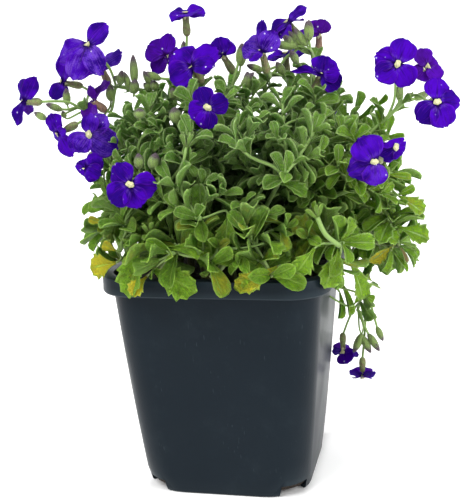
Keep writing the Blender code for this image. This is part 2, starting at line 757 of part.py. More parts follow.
def plan_leaves(shoots, sides, room):
    """Leaves of every shoot, from the tips down, each where it has room."""
    leaves = {shoot.name: [] for shoot in shoots}
    for number, index, order, back, largest in leaf_places(shoots, sides):
        shoot = shoots[index]
        draw = random.Random(f"{SEED} {index} {number} {order} {back:.4f}")
        values = [draw.uniform(-1, 1) for _ in range(3)]
        place, along = point_on(sides[shoot.name][order] if order >= 0 else shoot.stem, back)
        for attempt in range(LEAF_TRIES):
            blade = leaf_blade(index + 2 * order, number, attempt, place, along, values, largest)
            wide = blade_shape(swollen(blade))
            shape = blade_shape(blade)
            if clears_pot(wide[0]) and room.is_free(wide) and room.is_free(shape, shoot.name):
                leaves[shoot.name].append(blade)
                room.add(shape, shoot.name)
                break
    return leaves


def fill_room(shoot, room):
    """Take up the room of a shoot and its flowers, and of the air in front of each flower."""
    shapes = stem_pieces(shoot)
    for path in shoot.stalks:
        shapes += [tube([start, end], [STALK_RADIUS] * 2, STEM_SIDES) for start, end in zip(path, path[1:])]
    shapes += [calyx_shape(foot, mouth) for foot, mouth in shoot.calyces]
    shapes += [bud_shape(foot, tip) for foot, tip in shoot.buds]
    for flower in shoot.flowers:
        shapes += [blade_shape(blade) for blade in petal_blades(flower)]
    for shape in shapes:
        room.add(shape, shoot.name)
    for flower in shoot.flowers:
        middle = millimetres(*flower.place)
        facing = flower_facing(flower)
        path = [middle + facing * CLEAR_START, middle + facing * CLEAR_DEPTH]
        room.add(tube(path, [flower.petal * MM * CLEAR_SHARE] * 2, STEM_SIDES), None)


def make_shoot(shoot, sides, leaves, material):
    """Stem, side shoots, flower stalks, calyces, buds and leaves, joined as one body."""
    body = new_object(shoot.name, *tube(shoot.stem, stem_radii(shoot), STEM_SIDES), material)
    parts = [new_object("side", *tube(path, [SIDE_RADIUS] * len(path), STEM_SIDES)) for path in sides]
    for path in shoot.stalks:
        parts.append(new_object("stalk", *tube(path, [STALK_RADIUS] * len(path), 3)))
    for foot, mouth in shoot.calyces:
        parts.append(new_object("calyx", *calyx_shape(foot, mouth)))
    for foot, tip in shoot.buds:
        parts.append(new_object("bud", *bud_shape(foot, tip)))
    for blade in leaves:
        parts.append(new_object("leaf", *blade_shape(blade)))
    apply_boolean(body, parts, "UNION")
    return body


def make_flower(flower, material):
    """Four petals joined to a small hub."""
    facing = flower_facing(flower)
    middle = millimetres(*flower.place)
    path = [middle - facing * HUB_HEIGHT, middle]
    hub = tube(path, [HUB_RADIUS, HUB_RADIUS], HUB_SIDES, petal_heading(flower, flower.angles[0] + 45))
    body = new_object(f"flower_{flower.name}", *hub, material)
    petals = [new_object("petal", *blade_shape(blade)) for blade in petal_blades(flower)]
    apply_boolean(body, petals, "UNION")
    return body


def main():
    clear_scene()
    plastic = make_material("pot_plastic", (0.022, 0.030, 0.038), 0.45)
    peat = make_material("peat", (0.020, 0.014, 0.010), 0.95)
    green = make_material("shoot_green", (0.085, 0.170, 0.040), 0.60)
    violet = make_material("petal_violet", (0.070, 0.004, 0.420), 0.55)
    room = Room()
    shoots = plan_shoots(room)
    sides = plan_side_shoots(shoots, room)
    leaves = plan_leaves(shoots, sides, room)
    make_pot(plastic)
    make_soil([shoot.stem[0] for shoot in shoots], peat)
    for shoot in shoots:
        make_shoot(shoot, sides[shoot.name], leaves[shoot.name], green)
        for flower in shoot.flowers:
            make_flower(flower, violet)


main()
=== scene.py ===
"""Potted aubrieta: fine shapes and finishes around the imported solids.

Metres, +Z up. The origin is the middle of the pot's underside, and -Y is the front.
Shoots, leaves and flowers stand where the solids have them, worked out by the same seeded rules.
"""

import functools
import math
import random
from collections import namedtuple

import bmesh
import bpy
from bpy.props import FloatProperty, FloatVectorProperty, IntProperty, PointerProperty
from mathutils import Matrix, Vector, noise
from mathutils.bvhtree import BVHTree


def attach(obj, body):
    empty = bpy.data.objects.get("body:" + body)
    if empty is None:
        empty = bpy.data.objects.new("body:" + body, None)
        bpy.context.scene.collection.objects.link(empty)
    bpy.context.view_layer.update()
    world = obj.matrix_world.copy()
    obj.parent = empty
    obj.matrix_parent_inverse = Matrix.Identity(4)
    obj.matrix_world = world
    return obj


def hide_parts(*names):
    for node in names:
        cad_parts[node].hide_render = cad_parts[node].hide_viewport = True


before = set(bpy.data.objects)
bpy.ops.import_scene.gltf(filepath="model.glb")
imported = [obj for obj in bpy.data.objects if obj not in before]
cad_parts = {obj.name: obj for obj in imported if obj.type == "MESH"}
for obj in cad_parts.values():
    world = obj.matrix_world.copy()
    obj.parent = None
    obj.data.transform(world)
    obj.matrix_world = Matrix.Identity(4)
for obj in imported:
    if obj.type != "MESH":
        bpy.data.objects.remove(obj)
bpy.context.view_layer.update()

bl_info = {
    "name": "Potted aubrieta",
    "version": (1, 0, 0),
    "blender": (4, 5, 0),
    "location": "3D View > Sidebar > Aubrieta",
    "description": "Makes a flowering aubrieta in a square nursery pot",
    "category": "Add Mesh",
}

MM = 0.001
BODY = "root"

# Pot: a square with rounded corners that widens from the foot to the rim band
POT_HEIGHT = 95 * MM
FOOT_WIDTH = 69.5 * MM
NECK_WIDTH = 86 * MM
NECK_HEIGHT = 88 * MM
RIM_WIDTH = 93.5 * MM
POT_WALL = 1.3 * MM
FLOOR_THICKNESS = 2.2 * MM
CORNER_RADIUS = 14.5 * MM
FACET_HEIGHT = 17 * MM
FOOT_ROUNDING = 4 * MM
EDGE_BEVEL = 0.8 * MM
NOTCH_WIDTH = 13 * MM
NOTCH_HEIGHT = 5 * MM
NOTCH_DEPTH = 6.5 * MM
RIM_ROUNDING = 2 * MM
WALL_STEPS = 12
SHARP_ANGLE = math.radians(28)

# Soil: fills the pot with a small gap, and each stem stands a little way down in it
GAP = 0.3 * MM
SOIL_TOP = 88 * MM
HOLE_DEPTH = 6 * MM
CRUMB_CLEARANCE = 3 * MM
SOIL_INSET = 0.11
SOIL_SHARES = (0.97, 0.88, 0.76, 0.64, 0.52, 0.40, 0.28, 0.16)
SOIL_LUMPS = 160
SOIL_GRAINS = 420

# Dome of shoots: crowns lie on a flattened dome, evenly by the golden angle
SHOOTS = 30
SHOOT_TRIES = 11
TRY_TURN = math.radians(7)
STEM_CLEARANCE = 0.6 * MM
GOLDEN_ANGLE = math.radians(137.508)
DOME_CENTRE = Vector((8 * MM, 1 * MM, 0))
DOME_HALF_WIDTH = 63 * MM
DOME_HALF_DEPTH = 56 * MM
DOME_SKIRT = 99 * MM
DOME_TOP = 167 * MM
DOME_FALL = 0.75
DOME_SQUARENESS = 3.2
SKIRT_SHOOTS = 10
SKIRT_STEP = 0.12
ROOT_SPREAD = 0.42
SKIRT_LEAN = 98
LEAN_FALL = 1.6
SPREAD_CENTRE = Vector((3 * MM, 0, 70 * MM))
STEM_SIDES = 4
STEM_POINTS = 5
STALK_POINTS = 5
STEM_RADIUS = 1.2 * MM
TIP_RADIUS = 0.8 * MM
STALK_RADIUS = 0.6 * MM
STALK_SUNK = 0.3 * MM
STEM_ARCH = 0.42

# Side shoots: short ones that end on the dome wherever the crowns leave it open
SIDE_SPOTS = 110
SIDE_TURN = 1.6
SIDE_SPACE = 16.8 * MM
SIDE_SITES = 9
SITE_TRIES = 14
FIRST_SITE = 5 * MM
LONGEST_SIDE = 42 * MM
SHORTEST_SIDE = 7 * MM
SIDE_POINTS = 4
SIDE_RADIUS = 0.7 * MM
SIDE_LEAVES = 4
SIDE_LEAFY_SHARE = 0.9
FALL_COST = 1.5

# Leaves: spoon-shaped blades with a tooth on each side, small and upright at the tip of a shoot.
# Stations give the share of the length and the half width there as a share of the width.
DOME_LEAVES = 5
SKIRT_LEAVES = 6
LEAF_SPACING = 1.7 * MM
LEAF_SPACING_GROWTH = 0.16 * MM
FIRST_LEAF = 0.4 * MM
LEAF_SHORTEST = 13.5 * MM
LEAF_LONGEST = 17.5 * MM
LEAVES_TO_FULL_SIZE = 6
FIRST_TOOTHED = 4
LEAF_WIDTH_SHARE = 0.60
LEAF_THICKNESS = 1.0 * MM
LEAF_SUNK = 0.6 * MM
LEAF_OPENS = 32
OPENS_WITH_AGE = 24
OPENS_WHEN_LEVEL = 20
OPENING_SWING = 9
OPENING_STEP = 4
LEAF_RISE = 0.12
LEAF_LIGHT = 0.7
LENGTH_SWING = 0.12
TRY_SHRINK = 0.04
AGE_BEND = 0.5
LEAF_BEND = 0.35
LOW_LEAF_SIZE = 1.08
HIGH_LEAF_SIZE = 0.94
STALK_LEAF_SIZE = 1.1
LEAF_TRIES = 8
LEAF_TRY_TURN = 0.62
LEAF_CLEARANCE = 0.4 * MM
ROOT_CLEARANCE = 2.2 * MM
POT_CLEARANCE = 1.2 * MM
BARE_STEM_SHARE = 0.14
LOW_SHOOT = 120 * MM
TOOTHED_STATIONS = ((0.42, 0.30), (0.68, 0.50), (0.79, 0.36))
PLAIN_STATIONS = ((0.45, 0.32), (0.74, 0.50))

# Flowers: calyx and pale tube on a thin stalk, four petals spread flat on a small hub
CALYX_LENGTH = 8.0 * MM
CALYX_RADIUS = 1.6 * MM
HUB_RADIUS = 1.7 * MM
HUB_HEIGHT = 1.2 * MM
PETAL_SUNK = 0.9 * MM
PETAL_THICKNESS = 0.9 * MM
PETAL_WIDTH_SHARE = 1.0
PETAL_STATIONS = ((0.30, 0.22), (0.66, 0.50), (0.97, 0.32))
PETAL_SWING = (-4, 4)
PETAL_LIFT = (-0.07, 0.10)
PETAL_SIZES = (0.90, 1.04)
PETAL_BENDS = (0.15, 0.55)
BUD_LENGTH = 7.5 * MM
BUD_RADIUS = 1.6 * MM
CALYX_WIDTHS = ((0.0, 0.7 * MM), (0.3, CALYX_RADIUS), (1.0, 0.8 * CALYX_RADIUS))
BUD_WIDTHS = ((0.0, 0.6 * MM), (0.45, BUD_RADIUS), (1.0, 0.4 * MM))
CLEAR_SHARE = 0.6
CLEAR_START = 2 * MM
CLEAR_DEPTH = 15 * MM

SEED = 11

# Twigs: the finest shoots, which fill the dome between the stems and the side shoots
TWIG_POINTS = 5
TWIG_RADIUS = 0.45 * MM
TWIG_DROP = (-4, 2)
SHORTEST_ARCH = 2 * MM
TWIG_SPACING = 1.2 * MM
TWIG_SPACING_GROWTH = 0.13 * MM
FIRST_TWIG_LEAF = 0.3 * MM
TWIG_LEAFY_SHARE = 0.95
TWIG_LEAF_LONGEST = 12.5 * MM
TOP_LEAF_LONGEST = 9.0 * MM
TOP_LEAF_RISE = 35 * MM
THIN_LEAF = 0.4 * MM
TWIG_SHRINK = 0.55
TWIG_SHRINK_STEP = 0.11
TWIG_TURN = 0.35
TWIG_LAYERS = (1.0, 0.86, 1.0, 0.70, 0.94, 0.55, 0.78)
DOME_CORE = Vector((8 * MM, 1 * MM, 106 * MM))
# Reach of the dome, and the share of it inside the surface over which the leaves' painted shade deepens to full
DOME_REACH = Vector((68 * MM, 62 * MM, 64 * MM))
PAINTED_SHADE_SPAN = 0.45

# Where a twig or an inner leaf may leave a stem, and what it costs to start higher or too near
SPOTS = 8
SPOT_START = 3 * MM
STEM_SPOT_SHARE = 0.8
SIDE_SPOT_SHARE = 0.95
SIDE_SPOT_START = 4 * MM
SPOT_RISE_COST = 1.5
SPOT_LOWER = 4 * MM
SPOT_NEAR_COST = 0.6
SPOT_FAR = 12 * MM

# Leaves inside the dome, rosettes at the tops of bare stems, and the size of the leaves near the crowns.
# Lengths are in millimetres, widths are shares of the length.
INNER_LEAVES = 800
INNER_SHARES = (0.25, 0.80)
INNER_LENGTHS = (10, 16)
INNER_WIDTHS = (0.50, 0.62)
INNER_BEND = 0.2
ROSETTE_LEAVES = 7
ROSETTE_HEIGHT = 112 * MM
ROSETTE_LENGTHS = (5.5, 8.0)
ROSETTE_WIDTH = 0.52
ROSETTE_BEND = -0.3
ROSETTE_OPENS = 0.5
ROSETTE_STEP = 0.15
CROWN_HEIGHT = 135 * MM
CROWN_LEAF_SHARE = 0.78
MIDDLE_LEAF_SHARE = 0.9

# The way from the plant to the photograph's camera
FRONT_VIEW = Vector((0.218, -0.952, 0.214))

# Stage: half the floor's side and the radius of its curve, and each light's place and target
FLOOR_HALF = 3.0
FLOOR_CURVE = 1.2
KEY_PLACES = ((-0.6, -0.7, 1.3), (0, 0, 0.1))
FILL_PLACES = ((0.9, -0.40, 0.55), (0, 0, 0.12))
KEY_SPREAD = math.radians(35)
FILL_SIZE = 0.7

# Blades drawn from a grid: vertex layers, kinds of each leaf, and outlines by shares of the length and half
# widths as shares of the width
BLADE_LAYERS = ("across", "along", "back", "tone", "age", "yellow", "depth")
FORM_KINDS = 5
PLAIN_OUTLINE = ((0.0, 0.07), (0.20, 0.13), (0.40, 0.25), (0.58, 0.35), (0.74, 0.385), (0.87, 0.32), (0.96, 0.19))
TOOTHED_OUTLINE = ((0.0, 0.055), (0.16, 0.09), (0.31, 0.18), (0.45, 0.31), (0.56, 0.45), (0.585, 0.35),
                   (0.67, 0.42), (0.75, 0.475), (0.78, 0.345), (0.86, 0.31), (0.91, 0.29), (0.925, 0.19), (0.98, 0.07))
PETAL_OUTLINE = ((0.0, 0.12), (0.10, 0.22), (0.22, 0.37), (0.36, 0.49), (0.50, 0.55), (0.64, 0.56), (0.77, 0.52),
                 (0.87, 0.44), (0.95, 0.33), (1.0, 0.20))
SEPAL_OUTLINE = ((0.0, 0.30), (0.4, 0.36), (0.8, 0.22), (1.0, 0.03))

# Petals: the shares of the solids' width and length, how far each second one lies in front, and how far all
# are raised, in millimetres
PETAL_BREADTH = 0.89
PETAL_REACH = 0.88
PETAL_LAP = 0.16 * MM
PETAL_RAISED = 0.35

# Petals given by their tips, and how far those that hide the eye stand in front of it and sink, in millimetres
SHAPED_SUNK = 0.3
SHAPED_REACH = 0.97
SHAPED_BREADTH = 0.92
SHAPED_BEND = 0.25
EYE_COVER = 1.7
EYE_SINK = 0.6

# Sepals: how many, their turn in degrees, where they start along and, in millimetres, beside the axis, their
# flare, size and bend
SEPALS = 4
SEPAL_TURN = 40
SEPAL_START = 0.46
SEPAL_OUT = 1.05
SEPAL_FLARE = 0.22
SEPAL_LENGTH = 4.4 * MM
SEPAL_WIDTH = 3.0 * MM
SEPAL_BEND = -0.35

# Throat with its anthers: height and radius in millimetres, and tone from 0, cream, to 1, dark, where the dark down
# the throat is painted shade. The others:
# share of the length, and radius in millimetres or, for buds, as a share of the largest
THROAT_SIDES = 16
ANTHERS = 3
ANTHER_RADIUS = 0.24 * MM
THROAT_PROFILE = ((-1.6, 0.8, 0.2), (-0.4, 0.9, 0.2), (0.25, 1.25, 0.1), (0.60, 1.48, 0.0), (0.62, 1.22, 0.0),
                  (0.30, 0.95, 0.6), (-0.15, 0.80, 0.9), (-0.9, 0.45, 1.0))
CALYX_PROFILE = ((0, 0.62), (0.05, 1.05), (0.14, 1.42), (0.32, 1.60), (0.55, 1.45), (0.70, 1.25), (0.76, 0.9))
TUBE_PROFILE = ((0.60, 0.95), (0.80, 0.95), (0.92, 1.0), (1.0, 1.2))
BUD_PROFILE = ((0, 0.36), (0.08, 0.64), (0.24, 0.92), (0.45, 1.0), (0.66, 0.88), (0.84, 0.60), (0.95, 0.32),
               (1.0, 0.12))

# Flowers whose petals lie in front of their eyes in the photograph, how strongly some carry painted highlights as pale
# patches, and how pink or wilted some are
HIDDEN_EYES = ("top_back", "top_front", "top_high", "middle_high", "crest_west", "crest_low", "crest_high",
               "crest_east", "east_drooping", "west_far", "west_high", "west_mid", "west_low", "front_west_low")
PAINTED_HIGHLIGHT_FLOWERS = {"west_top": 0.45, "front_west": 0.35, "west_closing": 0.5, "crest_west": 0.35, "west_mid": 0.25,
                "crest_high": 0.25, "east_low": 0.2}
PINK_CALYCES = {"crest_east": 0.95, "west_mid": 0.75, "west_far": 0.45}
WILTED = {"east_back": 0.35, "west_closing": 0.55, "crest_east": 0.45, "top_back": 0.25}

# Leaves at the edge: how far above the leaf its stalk may start, its length to the distance between its ends,
# its bend and thickness, and where its face looks apart from outwards
EDGE_START = 12 * MM
EDGE_LENGTH = 1.04
EDGE_BEND = 0.35
EDGE_THICKNESS = 0.5 * MM
EDGE_LOOK = Vector((0.15, -0.85, 0.35))

# Leaves at the edge and over the rim: foot and tip in millimetres, width, and fading from 0, green, to 2, dry
EDGE_LEAVES = (
    ((-36, -46, 102), (-45, -50, 101), 11.5, 1.0),
    ((-37, -42, 106), (-42, -43, 109), 6.0, 0.6),
    ((-24, -48, 112), (-30, -55, 91), 11.5, 0.1),
    ((-22, -51, 98), (-28, -55, 92), 8.0, 0.9),
    ((-20, -50, 101), (-3, -57, 94), 14.0, 0.12),
    ((-13, -50, 109), (7, -53, 110), 10.5, 0.0),
    ((11, -50, 122), (10, -53, 111), 9.5, 0.05),
    ((29, -50, 102), (14, -56, 95), 9.5, 0.55),
    ((23, -50, 104), (18, -55, 94), 9.0, 0.3),
    ((43, -49, 109), (37, -52, 100), 9.5, 0.0),
    ((51, -36, 107), (47, -42, 92), 11.5, 0.0),
    ((53, -12, 95), (59, -12, 80), 10.5, 0.05),
    ((71, -8, 109), (84, -8, 105), 10.0, 0.1),
    ((62, -10, 109), (72, -10, 104), 8.0, 0.0),
    ((70, -8, 102), (60, -8, 93), 7.0, 0.75),
    ((69, -8, 100), (66, -8, 90), 6.0, 0.1),
    ((69, -8, 99), (76, -8, 91), 3.0, 0.05),
    ((72, -8, 101), (75, -8, 94), 3.4, 2.0),
    ((47, 4, 82), (52, 2, 69), 4.8, 0.1),
    ((46, 4, 78), (47, 2, 67), 4.2, 0.1),
    ((52, 2, 73), (54, 2, 77), 3.2, 0.1),
    ((57, 0, 78), (61, 0, 76), 5.0, 0.1),
    ((50, 4, 158), (38, 6, 167), 4.6, 0.0),
    ((53, -8, 147), (48, -6, 160), 7.2, 0.0),
    ((46, -14, 144), (44, -12, 158), 4.8, 0.1),
    ((54, -2, 155), (57, -2, 163), 6.6, 0.0),
    ((61, 0, 156), (67, 0, 161), 3.6, 0.15),
    ((54, -2, 151), (62, 0, 157), 3.4, 0.1),
    ((65, -6, 145), (64, -6, 156), 6.2, 0.0),
    ((67, -4, 145), (69, -4, 154), 5.2, 0.0),
    ((63, -8, 144), (74, -8, 146), 3.6, 0.1),
    ((67, -12, 131), (77, -12, 130), 4.4, 0.2),
    ((71, -8, 122), (78, -8, 125), 4.8, 0.0),
    ((72, -10, 122), (82, -10, 116), 9.0, 0.25),
    ((-51, -18, 123), (-59, -20, 117), 5.4, 0.0),
    ((-48, -20, 119), (-55, -22, 120), 6.4, 0.0),
    ((-47, -26, 114), (-53, -28, 116), 4.6, 0.6),
)

# Bare stems that show between the leaves: points in millimetres, and radius
BARE_STEMS = (
    (((-20, -49, 114), (-19, -49, 107), (-19, -48, 99)), 1.0),
    (((-10, -46, 109), (-15, -46, 104), (-19, -46, 99)), 1.1),
    (((10, -47, 105), (6, -48, 100), (3, -49, 97)), 1.2),
    (((9, -53, 110), (17, -54, 110), (25, -54, 112)), 0.45),
    (((44, -46, 120), (47, -47, 114), (52, -45, 109)), 0.9),
    (((-5, -46, 147), (-7, -49, 134), (-4, -51, 125), (1, -52, 121)), 0.6),
)

# Petals of the flowers that are folded or seen from the side: tip and width in millimetres, and how many
# degrees each is turned from the front view towards the way its flower looks
SHAPED_PETALS = {
    "west_far": ((-90, -5, 172, 9, 45), (-90, -11, 154, 8, 35), (-79, -12, 173, 7, 0), (-86, -2, 159, 7, 75)),
    "west_low": ((-71, -19, 158, 8.5, 30), (-62, -21, 141, 8.5, 30), (-73, -13, 149, 8, 75), (-63, -23, 152, 5, 60)),
    "west_high": ((-69, 0, 184, 7.5, 35), (-78, 2, 164, 8, 30), (-74, 13, 175, 7, 30), (-75, 12, 164, 6, 60)),
    "west_top": ((-46, -12, 194, 9.0, 15), (-69, -9, 181, 10.5, 20), (-60, -17, 173, 11.5, 0), (-47, -19, 175, 9, 30)),
    "west_mid": ((-45, 0, 183, 10, 45), (-66, 1, 174, 8.5, 50), (-55, 12, 180, 8, 30), (-55, -5, 175, 8, 60)),
    "front_west_low": ((-51, -39, 136, 7, 10), (-43, -39, 135, 8, 10),
                       (-42, -38, 142, 7.5, 10), (-50, -37, 142, 7, 20)),
    "front_west": ((-42, -30, 158, 8.5, 10), (-58, -32, 146, 8, 10),
                   (-53, -35, 145, 8, 35), (-38, -32, 145, 12, 0), (-47, -33, 159, 7, 15)),
    "top_back": ((-35, 8, 184, 10.5, 5), (-25, 9, 189, 7, 5), (-32, 6, 173, 7, 45), (-20, 13, 178, 9, 10)),
    "top_front": ((-16, -16, 183, 12.5, 0), (-17, -21, 171, 12, 10), (1, -17, 183, 10, 30), (1, -23, 177, 8, 40)),
    "middle_high": ((0, -7, 187, 8.5, 10), (5, -6, 185, 7.5, 20), (-3, -8, 182, 8, 20), (-1, 2, 181, 8, 60)),
    "top_high": ((-21, -2, 198, 11, 60), (-7, 1, 198, 11, 60), (-11, -9, 197, 12, 60), (-18, 8, 200, 12, 60)),
    "crest_west": ((12, -15, 184, 10.5, 10), (19, -13, 193, 4.5, 68), (25, -17, 188, 9, 0), (15, -19, 178, 6, 50)),
    "crest_low": ((16, 12, 178, 9, 70), (32, 12, 180, 9, 66), (25, 5, 179, 9, 70), (23, 23, 179, 9, 70)),
    "crest_high": ((34, 2, 198, 6, 45), (18, 4, 187, 9.5, 50), (24, -2, 186, 7.5, 50), (32, 6, 193, 7, 60)),
    "crest_east": ((41, 14, 192, 7, 20), (35, 15, 192, 7.5, 20), (30, 16, 189, 6, 45), (38, 22, 190, 7, 60)),
    "east_drooping": ((44, -9, 178, 10.5, 0), (49, -10, 166, 9.5, 15), (30, -8, 174, 7, 78), (49, -11, 172, 8, 20)),
    "east_back": ((80, 3, 179, 8.5, 20), (88, 3, 167, 8, 25), (79, 1, 168, 8, 30), (86, 6, 175, 7, 20)),
    "east_low_back": ((66, -32, 141, 8, 5), (75, -31, 142, 8, 5), (71, -31, 147, 8.5, 5)),
    "east_low": ((60, -40, 149, 12.5, 0), (55, -41, 136, 10, 5), (65, -41, 131, 9.5, 5)),
    "trailing_high": ((37, 47, 36, 8, 45), (44, 43, 33, 8.5, 30), (49, 46, 35, 8, 45), (40, 53, 39, 8, 60)),
    "trailing_low": ((46, 37, 30, 8, 55), (58, 37, 30, 8, 55), (52, 32, 29, 9, 85), (52, 44, 30, 9, 85)),
}

# A flower that has begun to close, on the shoot of another
CLOSING_BESIDE = "west_mid"
CLOSING_EYE = (-55, -8, 163)
CLOSING_FOOT = (-50, -6, 158)
CLOSING_PETALS = ((-48, -10, 171, 6, 60), (-58, -11, 155, 8, 25), (-56, -10, 169, 5, 50))

# Radius of the buds on flower stalks
STALK_BUD_RADIUS = 1.5 * MM

# Buds between the flowers and at the tips of leafy shoots: foot and tip in millimetres, and radius
TIP_BUDS = (
    ((-38, -2, 169), (-38, -2, 181), 1.7),
    ((-40, -3, 167), (-42, -3, 174), 1.4),
    ((-43, -3, 171), (-47, -3, 172), 1.2),
    ((-38, -4, 165), (-37, -4, 171), 2),
    ((-32, 2, 168), (-35, 2, 174), 1.5),
    ((-32, 1, 166), (-35, 1, 169), 1.5),
    ((-29, 0, 166), (-31, 0, 170), 1.8),
    ((-21, -4, 162), (-21, -4, 167), 1.6),
    ((-49, -2, 162), (-49, -2, 169), 1.9),
    ((9, -8, 175), (10, -8, 184), 2.1),
    ((13, -14, 166), (13, -14, 173), 1.9),
    ((26, -4, 171), (23, -4, 176), 1.7),
    ((32, -4, 181), (26, -4, 186), 1.6),
    ((34, -2, 181), (28, -2, 188), 1.6),
    ((36, -6, 182), (31, -6, 189), 1.6),
    ((32, -5, 182), (22, -5, 183), 1.7),
    ((37, -7, 184), (37, -7, 192), 1.9),
    ((77, -6, 162), (74, -6, 159), 1.3),
    ((52, 38, 49), (48, 38, 40), 1.9),
    ((52, 38, 48), (56, 38, 40), 1.8),
    ((55, 38, 49), (60, 38, 41), 1.7),
    ((-74, -14, 156), (-79, -14, 159), 1.5),
    ((-68, -4, 161), (-68, -4, 168), 1.6),
    ((-67, -10, 156), (-68, -10, 159), 1.1),
    ((-27, -32, 157), (-27, -32, 161), 2.3),
    ((-12, -32, 155), (-13, -32, 161), 2.5),
    ((-19, -46, 139), (-17, -46, 145), 2.2),
    ((-24, -46, 139), (-24, -46, 145), 1.8),
)

Flower = namedtuple("Flower", "name place heading rise petal angles cup")
Raceme = namedtuple("Raceme", "foot tip flowers buds leaves")
Shoot = namedtuple("Shoot", "name stem crown_share stalks calyces buds flowers")
Blade = namedtuple("Blade", "root ahead face length width bend stations thickness")


def millimetres(*values):
    """A place given in millimetres."""
    return Vector(values) * MM


# Flower stalks: where each leaves the dome and ends, and its flowers and buds, in millimetres.
# A heading of 0 looks to the front and 90 to the right; rise is degrees above level. A flower's
# petals have a length, an angle each, anticlockwise from its right, and a share by which they cup.
RACEMES = (
    Raceme((-45, -4, 148), (-62, -6, 160), (
        Flower("west_low", (-68, -17, 150), -75, -25, 10.0, (20, 110, 200, 290), 0.15),
        Flower("west_high", (-74, 6, 170), -62, 12, 9.0, (40, 125, 215, 305), 0.20),
        Flower("west_far", (-86, -8, 163), -104, 0, 10.0, (62, 135, 225, 300), 0.25),
    ), ((-70, -14, 161),), 2),
    Raceme((-30, 6, 161), (-47, 0, 168), (
        Flower("west_mid", (-55, 4, 177), -80, 68, 10.5, (5, 100, 185, 270), 0.15),
        Flower("west_top", (-54, -12, 186), -43, 44, 12.0, (52, 135, 228, 300), 0.10),
    ), ((-43, -5, 172),), 1),
    Raceme((-33, -25, 142), (-42, -24, 146), (
        Flower("front_west_low", (-49, -38, 138), -12, -38, 6.5, (20, 100, 190, 285), 0.20),
        Flower("front_west", (-49, -31, 151), 5, 12, 10.5, (60, 140, 215, 338), 0.10),
    ), (), 1),
    Raceme((-18, -36, 126), (-26, -38, 131), (
        Flower("front_low", (-26, -52, 134), 5, 6, 10.5, (125, 222, 290, 356), 0.10),
    ), (), 0),
    Raceme((-12, 2, 166), (-17, 0, 172), (
        Flower("top_back", (-27, 9, 180), 8, 20, 9.5, (8, 80, 158, 225), 0.12),
        Flower("top_front", (-9, -18, 176), -30, 48, 12.0, (35, 138, 208, 320), 0.12),
        Flower("top_high", (-15, 0, 197), 0, 84, 9.5, (20, 110, 200, 290), 0.20),
    ), ((-17, 2, 182), (-30, -2, 172)), 1),
    Raceme((4, -14, 163), (6, -12, 167), (
        Flower("front_high", (2, -38, 161), 8, 10, 8.5, (15, 108, 195, 262), 0.15),
        Flower("middle_high", (1, -6, 180), -60, 58, 8.5, (10, 95, 185, 275), 0.50),
    ), ((9, -8, 180), (13, -14, 170)), 1),
    Raceme((16, 6, 165), (23, 3, 174), (
        Flower("crest_west", (19, -14, 181), -80, 77, 8.5, (10, 100, 190, 280), 0.65),
        Flower("crest_low", (24, 14, 179), 0, 84, 8.5, (40, 130, 220, 310), 0.12),
        Flower("crest_high", (27, 2, 192), -75, 54, 11.0, (85, 175, 265, 350), 0.12),
    ), ((14, -4, 174),), 1),
    Raceme((36, 4, 160), (37, 4, 178), (
        Flower("crest_east", (38, 16, 187), 20, 78, 7.5, (10, 100, 190, 280), 0.55),
        Flower("east_drooping", (42, -8, 171), 70, 58, 11.0, (10, 100, 175, 270), 0.35),
    ), ((29, -5, 184), (36, -4, 188), (31, -9, 178)), 3),
    Raceme((59, -4, 145), (76, -6, 161), (
        Flower("east_front", (72, -15, 174), 8, 10, 10.5, (65, 158, 212, 305), 0.10),
        Flower("east_back", (83, 4, 172), 83, 28, 9.5, (10, 95, 190, 270), 0.15),
        Flower("east_far", (87, -24, 160), 18, 5, 10.5, (82, 225, 290, 355), 0.08),
    ), ((81, -3, 161), (72, -2, 163)), 4),
    Raceme((58, -22, 128), (66, -26, 138), (
        Flower("east_low_back", (72, -31, 144), 36, 15, 8.0, (10, 78, 150, 315), 0.12),
        Flower("east_low", (65, -41, 140), -8, 5, 10.5, (130, 192, 245, 300), 0.10),
    ), (), 2),
    Raceme((56, 34, 104), (50, 41, 60), (
        Flower("trailing_high", (42, 48, 37), 180, -84, 6.5, (20, 110, 200, 290), 0.25),
        Flower("trailing_low", (52, 38, 28), 0, -86, 6.5, (45, 135, 225, 315), 0.15),
    ), ((57, 38, 46), (60, 42, 48)), 9),
    Raceme((-16, 34, 150), (-20, 40, 150), (
        Flower("back_west", (-22, 54, 149), 175, 22, 10.0, (25, 115, 200, 290), 0.12),
    ), (), 1),
    Raceme((34, 35, 145), (38, 42, 146), (
        Flower("back_east", (38, 56, 144), 165, 15, 10.0, (10, 95, 190, 280), 0.12),
        Flower("back_low", (22, 58, 132), 190, 5, 9.5, (40, 130, 215, 310), 0.12),
    ), (), 1),
)


def loft(rings):
    """A closed shape through rings of equal length, capped at both ends."""
    count = len(rings[0])
    points = [point for ring in rings for point in ring]
    faces = [tuple(reversed(range(count)))]
    for level in range(len(rings) - 1):
        low = level * count
        for step in range(count):
            beside = (step + 1) % count
            faces.append((low + step, low + beside, low + count + beside, low + count + step))
    last = (len(rings) - 1) * count
    faces.append(tuple(range(last, last + count)))
    return points, faces


def bezier(start, control_a, control_b, end, count):
    """Evenly stepped points of a cubic curve."""
    points = []
    for step in range(count):
        t = step / (count - 1)
        s = 1 - t
        points.append(s ** 3 * start + 3 * s * s * t * control_a + 3 * s * t * t * control_b + t ** 3 * end)
    return points


def frames(path):
    """Each point of a path, with the directions along, across and beside it, carried on without a twist."""
    across = Vector((1, 0, 0)) if abs((path[1] - path[0]).normalized().x) < 0.9 else Vector((0, 1, 0))
    for index, point in enumerate(path):
        along = (path[min(index + 1, len(path) - 1)] - path[max(index - 1, 0)]).normalized()
        across = (across - along * across.dot(along)).normalized()
        yield point, along, across, along.cross(across)


